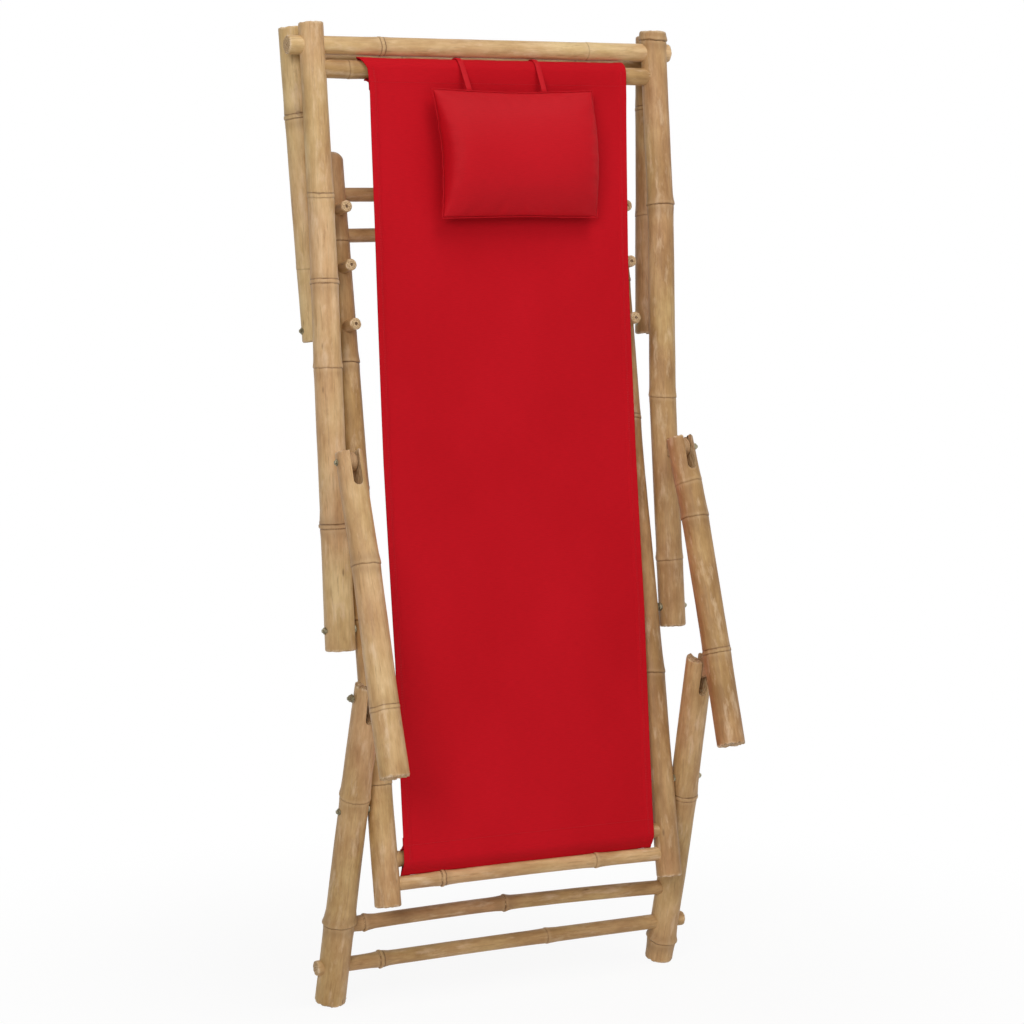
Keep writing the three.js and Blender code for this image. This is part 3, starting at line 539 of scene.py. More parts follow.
# SEAT CROSS RAILS. Thin bamboo rods glued into the seat rails: two stretchers at the rear end,
# the rail that the cloth's lower hem runs on, and a stretcher at the front end.
def lay_across(frame_place, y, z):
    return frame_place @ Matrix.Translation((0, y, z)) @ Matrix.Rotation(math.pi / 2, 4, "Y")


seat_rod_reach, lower_hem_height = 0.233, -0.3285
for node, radius, height, rings, rise, tone, seed in (
        ("rear_stretcher_upper", 0.010, 0.619, (-0.093, 0.11), 0.0, 0.34, 21.0),
        ("rear_stretcher_lower", 0.010, 0.560, (-0.12, 0.065), 0.001, 0.30, 22.0),
        ("lower_hem_rail", 0.0105, lower_hem_height, (-0.215, 0.219), 0.0, 0.45, 23.0),
        ("front_stretcher", 0.010, -0.3636, (-0.1437, 0.1043), 0.002, 0.50, 24.0)):
    grow_bamboo(node, "seat_frame", lay_across(seat_place, 0, height), -seat_rod_reach, seat_rod_reach,
                (radius, radius), rings, (-rise, 0.0), tone, seed, sides=36, lumps=0.0004, swell=1.9)


# PROP PEGS. Three short bamboo rods in the front of each seat rail near its rear end.
# The prop's bar rests on a pair of them and so sets the slope of the back.
peg_heights = (0.595, 0.512, 0.428)
peg_radius, peg_back, peg_front = 0.0085, -0.008, 0.047
for side, sign in (("left", -1), ("right", 1)):
    for number, height in enumerate(peg_heights):
        stray = float(np.interp((height - seat_low) / (seat_high - seat_low), *zip(*seat_bends[side])))
        place = seat_place @ Matrix.Translation((sign * seat_rail_x + stray, 0, height))
        place = place @ Matrix.Rotation(math.pi / 2, 4, "X")
        grow_bamboo(f"prop_peg_{side}_{number + 1}", "seat_frame", place, peg_back, peg_front,
                    (peg_radius, peg_radius), tone=0.34, seed=40.0 + 3 * number + sign, sides=28,
                    lumps=0.0003, pith=0.24)


# BACK POSTS AND THEIR RAILS. The two longest outer poles, hinged low down on the seat rails.
# The top rail goes right through them and ends in stubs; the upper hem rail sits in sockets.
back_place = frame_at(hinge["back_fold"], -4.5)
back_low, back_high = -0.030, 0.854
back_rings = {"left": (0.197, 0.451, 0.584, 0.722), "right": (0.112, 0.386, 0.708, 0.984)}
back_bends = {"left": ((0, 0.001), (0.451, 0.0), (0.722, 0.0), (1, -0.0045)),
              "right": ((0, -0.001), (0.386, -0.003), (0.708, 0.0065), (1, 0.0045))}
for side, sign, radii, tone, seed in (
        ("left", -1, (0.0215, 0.0178), 0.64, 5.2), ("right", 1, (0.0198, 0.0190), 0.36, 12.7)):
    rings = tuple(back_low + share * (back_high - back_low) for share in back_rings[side])
    place = back_place @ Matrix.Translation((sign * outer_pole_x, 0, 0))
    grow_bamboo("back_post_" + side, "back_frame", place, back_low, back_high, radii, rings, (0.0, 0.0),
                tone, seed, bends=back_bends[side], swell=1.5)
top_rail_behind, top_rail_height = 0.003, 0.822
grow_bamboo("top_rail", "back_frame", lay_across(back_place, top_rail_behind, top_rail_height),
            start=-0.3115, end=0.3015, radii=(0.0134, 0.0132), rings=(-0.172, 0.161), tone=0.66, seed=31.0,
            sides=36, lumps=0.0004, pith=0.22)
upper_hem_height, upper_hem_tilt = 0.7875, 0.3
upper_hem_place = back_place @ Matrix.Translation((0, 0, upper_hem_height))
tilted = lay_across(upper_hem_place @ Matrix.Rotation(math.radians(upper_hem_tilt), 4, "Y"), 0, 0)
socket_reach = 0.276
grow_bamboo("upper_hem_rail", "back_frame", tilted, -socket_reach, socket_reach, radii=(0.0130, 0.0128),
            rings=(-0.222, 0.13), tone=0.34, seed=33.0, sides=36, lumps=0.0004, swell=0.6)


# LEGS AND THEIR RAILS. The outer poles that the chair stands on, hinged on the seat rails.
# Each is slotted at its top for the armrest's tongue. One stretcher ends in sockets, one shows its ends.
leg_place = frame_at(hinge["leg_fold"], 14.8)
leg_low, leg_high = -0.301, 0.1929
arm_bolt_height, slot_below_bolt, slot_off_middle = 0.1729, 0.027, 0.004
leg_rings = {"left": (0.254, 0.652), "right": (0.066, 0.547)}
leg_bends = {"left": ((0, -0.0055), (0.254, -0.003), (0.64, 0.001), (1, 0.006)),
             "right": ((0, -0.004), (0.3, -0.001), (0.547, -0.001), (1, -0.005))}
for side, sign, radii, tone, seed in (
        ("left", -1, (0.0224, 0.0202), 0.44, 14.3), ("right", 1, (0.021, 0.020), 0.50, 17.9)):
    rings = tuple(leg_low + share * (leg_high - leg_low) for share in leg_rings[side])
    place = leg_place @ Matrix.Translation((sign * outer_pole_x, 0, 0))
    slot = (1.0, arm_bolt_height - slot_below_bolt, -sign * slot_off_middle)
    grow_bamboo("leg_" + side, "leg_frame", place, leg_low, leg_high, radii, rings, (0.0, 0.0), tone, seed,
                slot=slot, bends=leg_bends[side], swell=2.2, chips=0.0024)
upper_stretcher_height = -0.1815
grow_bamboo("leg_stretcher_upper", "leg_frame", lay_across(leg_place, 0, upper_stretcher_height),
            -socket_reach, socket_reach, radii=(0.0104, 0.0104), rings=(-0.237, -0.014), bow=(-0.0058, 0.0),
            tone=0.38, seed=51.0, sides=36, lumps=0.0004, swell=2.2)
lower_stretcher_height, lower_stretcher_tilt = -0.2411, -0.7
tilted = leg_place @ Matrix.Rotation(math.radians(lower_stretcher_tilt), 4, "Y")
grow_bamboo("leg_stretcher_lower", "leg_frame", lay_across(tilted, 0, lower_stretcher_height),
            start=-0.307, end=0.2955, radii=(0.0108, 0.0108), rings=(-0.2095, 0.0605), bow=(-0.0016, 0.0),
            tone=0.40, seed=53.0, sides=36, lumps=0.0004, pith=0.2, swell=2.2)


# ARMRESTS. Thick bamboo poles slotted at the top over a tongue of the back post.
# Low down a second tongue joins each to the top of its leg, so that they fold together.
arm_tongue_reach = 0.057
arm_hinge_middle = Vector((0, *hinge["arm_fold_left"][1:]))
bolt_low, bolt_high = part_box("arm_front_hinge_bolt_left")
arm_span = (bolt_low + bolt_high) / 2 - arm_hinge_middle
arm_to_leg = math.sqrt(arm_span.y ** 2 + arm_span.z ** 2 - arm_tongue_reach ** 2)
arm_lean = math.degrees(math.atan2(arm_span.y, -arm_span.z) - math.atan2(arm_tongue_reach, arm_to_leg))
arm_place = frame_at(arm_hinge_middle, arm_lean)
armrest_x = 0.266
arm_below_leg_bolt, arm_slot_bottom = 0.1237, -0.030
arm_low, arm_high = -(arm_to_leg + arm_below_leg_bolt), 0.016
arm_rings = {"left": (0.204, 0.645), "right": (0.296, 0.733, 0.845)}
arm_bends = {"left": ((0, 0.0), (0.213, -0.001), (0.66, 0.0015), (1, -0.001)),
             "right": ((0, 0.0), (0.309, 0.0015), (0.762, 0.0015), (1, -0.0035))}
for side, sign, radii, tone, seed in (
        ("left", -1, (0.021, 0.0196), 0.52, 60.5), ("right", 1, (0.0204, 0.0196), 0.16, 66.1)):
    rings = tuple(arm_low + share * (arm_high - arm_low) for share in arm_rings[side])
    place = arm_place @ Matrix.Translation((sign * armrest_x, 0, 0))
    grow_bamboo("armrest_" + side, "armrest_" + side, place, arm_low, arm_high, radii, rings, (0.0, 0.0),
                tone, seed, slot=(1.0, arm_slot_bottom, 0.0), bends=arm_bends[side], chips=0.0026)


# PROP. Two poles slotted at their lower end over tongues behind the back posts, with a thin bar
# between their tops. They lie behind the posts and spread a little towards the bar.
prop_place = frame_at(hinge["prop_swing"], -4.5)
prop_low, prop_high, prop_splay = -0.0160, 0.4295, 2.2
prop_slot_bottom, prop_bar_height = 0.028, 0.3835
prop_rings = {"left": (0.236, 0.71), "right": (0.393, 0.747)}
for side, sign, radii, tone, seed in (
        ("left", -1, (0.0185, 0.0185), 0.72, 71.3), ("right", 1, (0.0185, 0.0182), 0.30, 75.8)):
    rings = tuple(prop_low + share * (prop_high - prop_low) for share in prop_rings[side])
    place = prop_place @ Matrix.Translation((sign * outer_pole_x, 0, 0))
    place = place @ Matrix.Rotation(math.radians(sign * prop_splay), 4, "Y")
    grow_bamboo("prop_post_" + side, "prop_frame", place,
                prop_low, prop_high, radii, rings, (0.0, 0.0), tone, seed, slot=(-1.0, prop_slot_bottom, 0.0),
                bends=((0, 0.0), (1, 0.004 if sign > 0 else 0.0)))
bar_in_post = 0.006
bar_reach = outer_pole_x + prop_bar_height * math.tan(math.radians(prop_splay)) + bar_in_post
grow_bamboo("prop_bar", "prop_frame", lay_across(prop_place, 0, prop_bar_height), -bar_reach, bar_reach,
            radii=(0.010, 0.010), rings=(-0.12, 0.16), tone=0.38, seed=79.0, sides=36, lumps=0.0004)


# TONGUES. Flat hardwood plates with a round nose, let into a pole and bolted in the fork of the next.
# Sawn, lightly rounded at the edges, and paler than the bamboo.
wood_finish, tree, shader = new_finish("pale wood", 0.6, 0.35)
place = step(tree, "ShaderNodeTexCoord").outputs["Object"]
rays = noise_of(place, (900.0, 60.0, 900.0), 4.0, 0.6)
years = step(tree, "ShaderNodeTexWave", {
    "Vector": scaled(place, (1.0, 0.25, 1.0)), "Scale": 60.0,
    "Distortion": 3.0, "Detail": 3.0, "Detail Scale": 1.5}).outputs["Fac"]
timber = ramp(years, [(0.0, (0.42, 0.245, 0.118)), (0.6, (0.56, 0.355, 0.19)), (1.0, (0.47, 0.29, 0.145))])
timber = mixed(0.5, timber, ramp(rays, [(0.35, grey(0.6)), (0.6, grey(1.0))]), "MULTIPLY")
paint(shader, timber)
roughen(shader, rays, 0.4, 0.0006)
nose, half_thick, edge_round = 0.0135, 0.0056, 0.0008


def cut_tongue(node, body, place, seat_sign, seat_distance, hole_radius):
    """A plate round the bolt's axis: a round nose on one side, and square into the pole on the other."""
    outline = [Vector((0, -seat_sign * abs(math.sin(a)) * nose, math.cos(a) * nose))
               for a in np.linspace(0, math.pi, 17)]
    outline += [Vector((0, seat_sign * seat_distance, -nose)), Vector((0, seat_sign * seat_distance, nose))]
    hole = [Vector((0, math.cos(a) * hole_radius, math.sin(a) * hole_radius))
            for a in np.linspace(0, 2 * math.pi, 25)[:-1]]
    work = bmesh.new()
    rims = []
    for loop in (outline, hole):
        corners = [work.verts.new(p - Vector((half_thick, 0, 0))) for p in loop]
        rims += [work.edges.new((corners[i - 1], corners[i])) for i in range(len(corners))]
    filled = bmesh.ops.triangle_fill(work, use_beauty=True, edges=rims)
    faces = [f for f in filled["geom"] if isinstance(f, bmesh.types.BMFace)]
    pushed = bmesh.ops.extrude_face_region(work, geom=faces)
    for corner in pushed["geom"]:
        if isinstance(corner, bmesh.types.BMVert):
            corner.co.x += 2 * half_thick
    bmesh.ops.recalc_face_normals(work, faces=work.faces)
    rim = [e for e in work.edges if len(e.link_faces) == 2 and e.calc_face_angle() > 1.2]
    bmesh.ops.bevel(work, geom=rim, offset=edge_round, segments=2, affect="EDGES")
    piece = mesh_object(node + "_wood", [])
    work.to_mesh(piece.data)
    work.free()
    piece.data.transform(place)
    piece.data.materials.append(wood_finish)
    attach(piece, body)
    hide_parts(node)


seat_depth = 0.014
arm_hinge_height, prop_hinge_height = 0.2363, 0.4235
arm_hinge_ahead, prop_hinge_behind = 0.0563, 0.043
post_radius = {"left": 0.0199, "right": 0.0187}
arm_radius = 0.0206
tight_hole, loose_hole = 0.0033, 0.0072
for side, sign in (("left", -1), ("right", 1)):
    reach = arm_hinge_ahead - post_radius[side] + seat_depth
    place = back_place @ Matrix.Translation((sign * armrest_x, -arm_hinge_ahead, arm_hinge_height))
    cut_tongue("arm_tongue_" + side, "back_frame", place, 1, reach, tight_hole)
    reach = prop_hinge_behind - post_radius[side] + seat_depth
    place = back_place @ Matrix.Translation((sign * outer_pole_x, prop_hinge_behind, prop_hinge_height))
    cut_tongue("prop_tongue_" + side, "back_frame", place, -1, reach, tight_hole)
    reach = arm_tongue_reach - arm_radius + seat_depth
    place = arm_place @ Matrix.Translation((sign * armrest_x, arm_tongue_reach, -arm_to_leg))
    cut_tongue("armrest_tongue_" + side, "armrest_" + side, place, -1, reach, loose_hole)


# BOLTS. Plated steel bolts, gone dull, with a plain washer, a hexagon nut and a short bolt end on the
# outer side and a domed head on the inner side. More washers keep poles apart that turn on each other.
steel_finish, tree, shader = new_finish("dull plated steel", 0.45, 0.5, 0.85)
place = step(tree, "ShaderNodeTexCoord").outputs["Object"]
dull = noise_of(place, (260.0, 260.0, 260.0), 4.0, 0.6)
tarnish = noise_of(place, (90.0, 90.0, 90.0), 2.0)
plate = ramp(dull, [(0.35, (0.20, 0.18, 0.115)), (0.6, (0.42, 0.385, 0.27))])
plate = mixed(ramp(tarnish, [(0.5, grey(0.0)), (0.7, grey(0.6))]), plate, (0.22, 0.17, 0.085))
paint(shader, plate)
tree.links.new(times_plus(dull, 0.35, 0.3), shader.inputs["Roughness"])
roughen(shader, dull, 0.3, 0.0004)

bolt_sizes = ["Head Radius", "Head Height", "Shank Radius", "Nut Radius", "Nut Height", "Washer Radius"]
bolt_tree, given = new_tree("Bolt set", [(label, "Float") for label in bolt_sizes] + [("Finish", "Material")])


def told(name, data_type="FLOAT"):
    return step(bolt_tree, "GeometryNodeInputNamedAttribute", {"Name": name}, data_type=data_type).outputs[0]


def instanced(shape, kind):
    """One of a bolt's shapes at each point of its kind, turned to the bolt and stretched to its length."""
    facing = told("facing", "FLOAT_VECTOR")
    turned = step(bolt_tree, "FunctionNodeAlignRotationToVector", {"Vector": facing}, axis="Z")
    return step(bolt_tree, "GeometryNodeInstanceOnPoints", {
        "Points": given["Geometry"], "Selection": below(size_of(minus(told("kind"), float(kind))), 0.5),
        "Instance": shape, "Rotation": turned.outputs[0], "Scale": point(1.0, 1.0, told("long"))}).outputs[0]


def upright_rod(sides, radius, depth):
    return step(bolt_tree, "GeometryNodeMeshCylinder", {
        "Vertices": sides, "Radius": radius, "Depth": depth}).outputs[0]


ball = step(bolt_tree, "GeometryNodeMeshUVSphere", {
    "Segments": 24, "Rings": 12, "Radius": given["Head Radius"]})
flattened = point(1.0, 1.0, over(given["Head Height"], given["Head Radius"]))
dome = step(bolt_tree, "GeometryNodeTransform", {"Geometry": ball.outputs[0], "Scale": flattened}).outputs[0]
nut = step(bolt_tree, "GeometryNodeJoinGeometry")
hexagon = upright_rod(6, given["Nut Radius"], given["Nut Height"])
collar = upright_rod(24, times(given["Nut Radius"], 0.84), times(given["Nut Height"], 1.14))
for shape in (hexagon, collar):
    bolt_tree.links.new(shape, nut.inputs[0])
everything = step(bolt_tree, "GeometryNodeJoinGeometry")
for kind, shape in enumerate((dome, nut.outputs[0], upright_rod(32, given["Washer Radius"], 1.0),
                              upright_rod(20, given["Shank Radius"], 1.0))):
    bolt_tree.links.new(instanced(shape, kind), everything.inputs[0])
end_tree(everything.outputs[0], given["Finish"], sharp_past=32)

nut_height, washer_thick, bolt_end = 0.0038, 0.0010, 0.0024
outer_face_inset, inner_face_inset = 0.0036, 0.0048


def fit_bolts(name, body, label, sides):
    spots, stood_for = [], []
    for side in sides:
        sign = -1 if side == "left" else 1
        head_low, head_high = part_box(f"{label}_bolt_{side}")
        middle = (head_low + head_high) / 2
        outer_face = sign * (max(abs(head_low.x), abs(head_high.x)) - outer_face_inset)
        inner_face = sign * (min(abs(head_low.x), abs(head_high.x)) + inner_face_inset)

        def spot(kind, x, long):
            spots.append((kind, (x, middle.y, middle.z), (sign, 0, 0), long))

        top = outer_face + sign * (washer_thick + nut_height + bolt_end)
        spot(0, inner_face, 1.0)
        spot(2, outer_face + sign * washer_thick / 2, washer_thick)
        spot(1, outer_face + sign * (washer_thick + nut_height / 2), 1.0)
        spot(3, (inner_face + top) / 2, abs(top - inner_face))
        stood_for += [f"{label}_bolt_{side}", f"{label}_nut_{side}"]
        washer = f"{label}_washer_{side}"
        if washer in frame["nodes"]:
            low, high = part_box(washer)
            spot(2, (low.x + high.x) / 2, high.x - low.x)
            stood_for.append(washer)
    piece = mesh_object(name, [place for _, place, _, _ in spots])
    for key, data_type, field, values in (
            ("kind", "FLOAT", "value", [float(kind) for kind, _, _, _ in spots]),
            ("long", "FLOAT", "value", [long for _, _, _, long in spots]),
            ("facing", "FLOAT_VECTOR", "vector", [float(v) for _, _, facing, _ in spots for v in facing])):
        piece.data.attributes.new(key, data_type, "POINT").data.foreach_set(field, values)
    run_tree(bolt_tree, piece, {
        "Head Radius": 0.0054, "Head Height": 0.0030, "Shank Radius": 0.0025, "Nut Radius": 0.0049,
        "Nut Height": nut_height, "Washer Radius": 0.0062, "Finish": steel_finish})
    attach(piece, body)
    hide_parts(*stood_for)


both = ("left", "right")
fit_bolts("back_hinge_bolts", "back_frame", "back_hinge", both)
fit_bolts("leg_hinge_bolts", "leg_frame", "leg_hinge", both)
fit_bolts("arm_front_bolts", "leg_frame", "arm_front_hinge", both)
fit_bolts("arm_rear_bolt_left", "armrest_left", "arm_rear_hinge", ("left",))
fit_bolts("arm_rear_bolt_right", "armrest_right", "arm_rear_hinge", ("right",))
fit_bolts("prop_bolts", "prop_frame", "prop_hinge", both)


# CLOTH SLING. One length of red canvas with a sewn sleeve at each end. The sleeves run on the hem
# rails, and between them the cloth hangs almost flat with turned side edges and a slight sag.
canvas_finish, tree, shader = new_finish("red canvas", 0.8, 0.1)
weave_place = step(tree, "ShaderNodeUVMap", uv_map="cloth").outputs[0]
split = step(tree, "ShaderNodeSeparateXYZ", {0: weave_place}).outputs
thread_pitch = 0.0011
threads = 2 * math.pi / thread_pitch
across = calc("SINE", times(split["X"], threads))
along = calc("SINE", times(split["Y"], threads))
weave = times(across, along)
slub = noise_of(weave_place, (90.0, 900.0, 1.0), 3.0, 0.6)
cloud = noise_of(weave_place, (5.0, 3.2, 1.0), 3.0, 0.5)
red = ramp(cloud, [(0.3, (0.54, 0.0042, 0.0115)), (0.7, (0.61, 0.0060, 0.0155))])
red = mixed(0.35, red, ramp(slub, [(0.3, grey(0.72)), (0.65, grey(1.0))]), "MULTIPLY")
red = mixed(0.12, red, ramp(times_plus(weave, 0.5, 0.5), [(0.2, grey(0.5)), (0.8, grey(1.0))]), "MULTIPLY")
paint(shader, red)
shader.inputs["Sheen Weight"].default_value = 0.06
shader.inputs["Sheen Roughness"].default_value = 0.4
shader.inputs["Sheen Tint"].default_value = (1.0, 0.35, 0.38, 1.0)
roughen(shader, plus(times(weave, 0.35), times(slub, 0.5)), 0.25, 0.0005)

upper_rail = hinge["back_fold"] + (back_place.to_3x3() @ Vector((0, 0, upper_hem_height + 0.0005)))
lower_rail = hinge["back_fold"] + (seat_place.to_3x3() @ Vector((0, 0, lower_hem_height)))
down = (lower_rail - upper_rail).normalized()
front = Vector((0, down.z, -down.y))
sling_length = (lower_rail - upper_rail).length
upper_sleeve, lower_sleeve, lower_drop, cloth_thick = 0.0170, 0.0134, 0.0235, 0.0011
left_edge = (
    (-0.05, -0.0146, -0.005, 0.0, 0.02, 0.2, 0.5, 0.75, 0.9, 1.0, 1.05),
    (-0.208, -0.207, -0.201, -0.198, -0.196, -0.196, -0.199, -0.198, -0.201, -0.203, -0.206))
right_edge = (
    (-0.05, 0.0, 0.05, 0.25, 0.5, 0.7, 0.88, 1.0, 1.05),
    (0.217, 0.217, 0.215, 0.209, 0.208, 0.208, 0.203, 0.2005, 0.199))


def edge_x(edge, share):
    """Where a side edge of the cloth lies, at a share of the way down between the rails."""
    return float(np.interp(share, *edge))


fold_half_wide = 0.0042
close_radius, closer_with_drop = 0.0138, 0.0022
join_past_rail, join_behind_front, tail = 0.0185, 0.0026, 0.011


def sleeve_path(centre, radius, turn_sign, drop):
    """From the cloth's front face round the rail and back to the cloth's rear face, then down the tail.
    The rear half lies close to the rail. With a drop the sleeve hangs that far below it in a narrow fold."""
    path = []
    away = -down * turn_sign
    if drop > 0:
        fold = fold_half_wide
        for share in np.linspace(0, 1, 7)[1:]:
            ahead = radius - (radius - fold) * share ** 2.2
            path.append(centre + front * ahead + away * ((drop - fold) * share))
        for angle in np.radians(np.linspace(20, 180, 9)):
            beyond = drop - fold + fold * math.sin(angle)
            path.append(centre + front * (fold * math.cos(angle)) + away * beyond)
        for share in np.linspace(0, 1, 7)[1:]:
            behind = fold + (radius - fold) * share ** 0.6
            path.append(centre - front * behind + away * ((drop - fold) * (1 - share)))
        turns = np.radians(np.linspace(180, 285, 11)[1:])
    else:
        turns = np.radians(np.linspace(0, 285, 32)[1:])
    drawn_in = radius - close_radius + (closer_with_drop if drop > 0 else 0.0)
    for angle in turns:
        closer = radius - drawn_in * float(np.interp(angle, (1.9, 3.2), (0.0, 1.0)))
        path.append(centre + front * (closer * math.cos(angle)) + away * (closer * math.sin(angle)))
    last = path[-1]
    join = centre - away * join_past_rail + front * (radius - join_behind_front)
    path += [last.lerp(join, share) for share in np.linspace(0.2, 1, 5)]
    path += [join - away * (tail * share) for share in (0.35, 0.7, 1.0)]
    return path


sag, hollow = 0.013, 0.005
hem_strip, hem_rise = 0.0113, 0.0005
edge_curl, curl_reach = 0.0022, 0.012
upper_gather, lower_gather, gather_reach = 0.0010, 0.0012, 0.02


def cloth_middle(share, x):
    """Where the cloth's middle layer lies, at a share of the way down between the rails."""
    left, right = edge_x(left_edge, share), edge_x(right_edge, share)
    inside = min(1.0, max(0.0, share))
    open_share = math.sin(math.pi * inside)
    u = (x - left) / (right - left)
    inward = min(x - left, right - x)
    off = upper_sleeve + (lower_sleeve - upper_sleeve) * inside - sag * open_share
    off -= hollow * open_share * math.sin(math.pi * min(1.0, max(0.0, u)))
    off += edge_curl * open_share * math.exp(-max(inward, 0.0) / curl_reach)
    off += upper_gather * math.sin(u * 31.0 + 1.3) * math.exp(-abs(share - 0.035) / gather_reach)
    off += lower_gather * math.sin(u * 23.0 + 0.4) * math.exp(-abs(share - 0.965) / gather_reach)
    off += hem_rise if inward < hem_strip else 0.0
    return upper_rail + down * (sling_length * share) + front * off + Vector((x, 0, 0))


# Each row starts at one side edge, crosses the turned hem, the middle and the other hem.
hem_steps = [0.0, 0.0008, 0.004, 0.0075, hem_strip - 0.0004, hem_strip + 0.0006, 0.015, 0.020]
middle_steps = 54
run = [0.0]
panel_shares = list(np.linspace(0, 1, 93))


def row_xs(share):
    left, right = edge_x(left_edge, share), edge_x(right_edge, share)
    xs = [left + d for d in hem_steps]
    xs += list(np.linspace(left + hem_steps[-1], right - hem_steps[-1], middle_steps + 1)[1:-1])
    return xs + [right - d for d in reversed(hem_steps)]


def sleeve_rows(centre, radius, turn_sign, share_at_rail, drop):
    rows = []
    for place in sleeve_path(centre, radius, turn_sign, drop):
        xs = row_xs((place - upper_rail).dot(down) / sling_length)
        at_rail = upper_rail + down * (sling_length * share_at_rail)
        bumps = [(cloth_middle(share_at_rail, x) - at_rail).dot(front) for x in xs]
        level = bumps[len(bumps) // 2]
        away = (place - centre).normalized()
        behind = min(1.0, max(0.0, -(place - centre).dot(front) / radius))
        xs = [x * (1 - 0.05 * behind) for x in xs]
        rows.append([place + Vector((x, 0, 0)) + away * max(-0.0004, min(0.0012, bump - level))
                     for x, bump in zip(xs, bumps)])
    return rows


grid = list(reversed(sleeve_rows(upper_rail, upper_sleeve, 1, 0.0, 0.0)))
grid += [[cloth_middle(share, x) for x in row_xs(share)] for share in panel_shares]
grid += sleeve_rows(lower_rail, lower_sleeve, -1, 1.0, lower_drop)
width = len(grid[0])
for row, next_row in zip(grid, grid[1:]):
    run.append(run[-1] + (next_row[width // 2] - row[width // 2]).length)
faces = [(r * width + c, (r + 1) * width + c, (r + 1) * width + c + 1, r * width + c + 1)
         for r in range(len(grid) - 1) for c in range(width - 1)]
sling = mesh_object("canvas_sling", [p for row in grid for p in row], faces=faces)


def lay_weave(piece, spots):
    """Gives each corner of a cloth piece its spot in the weave, in metres."""
    weave = piece.data.uv_layers.new(name="cloth")
    for corner in piece.data.loops:
        weave.data[corner.index].uv = spots[corner.vertex_index]


def thicken(piece, thick):
    thickness = piece.modifiers.new("thickness", "SOLIDIFY")
    thickness.thickness, thickness.offset = thick, 0.0
    keep_result(piece)


lay_weave(sling, [(place.x, gone) for row, gone in zip(grid, run) for place in row])
sling.data.shade_smooth()
sling.data.materials.append(canvas_finish)
thicken(sling, cloth_thick)

# Lockstitch rows: two down each side hem from rail to rail, and one that closes each sleeve.
stitch_tree, given = new_tree("Stitch row", [
    ("Spacing", "Float"), ("Length", "Float"), ("Thread Radius", "Float"), ("Finish", "Material"),
])
track = step(stitch_tree, "GeometryNodeMeshToCurve", {"Mesh": given["Geometry"]}).outputs[0]
spots = step(stitch_tree, "GeometryNodeCurveToPoints", {
    "Curve": track, "Length": given["Spacing"]}, mode="LENGTH")
bead = step(stitch_tree, "GeometryNodeMeshUVSphere", {"Segments": 6, "Rings": 4, "Radius": 1.0}).outputs[0]
half_long = times(given["Length"], 0.5)
bead_size = point(given["Thread Radius"], given["Thread Radius"], half_long)
turned = step(stitch_tree, "FunctionNodeAlignRotationToVector", {
    "Vector": spots.outputs["Tangent"]}, axis="Z")
sewn = step(stitch_tree, "GeometryNodeInstanceOnPoints", {
    "Points": spots.outputs[0], "Instance": bead, "Rotation": turned.outputs[0], "Scale": bead_size})
end_tree(sewn.outputs[0], given["Finish"])

thread_finish, tree, shader = new_finish("red thread", 0.55, 0.4)
place = step(tree, "ShaderNodeTexCoord").outputs["Object"]
twist = noise_of(place, (2500.0, 2500.0, 2500.0), 2.0)
paint(shader, ramp(twist, [(0.3, (0.42, 0.0040, 0.0100)), (0.7, (0.56, 0.0065, 0.0150))]))

lift = cloth_thick / 2 + 0.0001
seam_insets, sleeve_seam_distance, seam_end_inset = (0.0096, 0.0079), 0.0190, 0.002
tracks = []
for inset in seam_insets:
    for edge, inwards in ((left_edge, inset), (right_edge, -inset)):
        tracks.append([cloth_middle(share, edge_x(edge, share) + inwards) + front * lift
                       for share in np.linspace(0.0, 1.0, 120)])
for share in (sleeve_seam_distance / sling_length, 1 - sleeve_seam_distance / sling_length):
    left, right = edge_x(left_edge, share), edge_x(right_edge, share)
    xs = np.linspace(left + seam_end_inset, right - seam_end_inset, 100)
    tracks.append([cloth_middle(share, x) + front * lift for x in xs])


def sew(name, tracks, spacing=0.0036, length=0.0030, thread_radius=0.00024):
    points, edges = [], []
    for track in tracks:
        edges += [(len(points) + i, len(points) + i + 1) for i in range(len(track) - 1)]
        points += track
    piece = mesh_object(name, points, edges=edges)
    return run_tree(stitch_tree, piece, {"Spacing": spacing, "Length": length, "Thread Radius": thread_radius,
                                         "Finish": thread_finish})


sling_stitches = sew("sling_stitches", tracks)
for piece in (sling, sling_stitches):
    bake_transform(piece)
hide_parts("sling")


# HEAD PILLOW. A small filled cushion of the same red cloth, sewn from two faces along a corded seam.
# It is blown up as cloth, then given its crown, so that its sides draw in between the corners
# and its back lies flatter than its front.
pillow_finish = canvas_finish.copy()
pillow_finish.name = "pillow cloth"
pillow_shader = pillow_finish.node_tree.nodes["Principled BSDF"]
pillow_shader.inputs["Specular IOR Level"].default_value = 0.13
pillow_shader.inputs["Roughness"].default_value = 0.55
pillow_low, pillow_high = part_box("pillow")
pillow_x = (pillow_low.x + pillow_high.x) / 2
half_width, half_height = 0.129, 0.092
front_bulge, back_bulge, seam_forward = 0.037, 0.0145, 0.0340
pillow_top = 0.760
pillow_place = back_place @ Matrix.Translation((pillow_x, -seam_forward, pillow_top - half_height))
steps_wide, steps_high = 56, 40


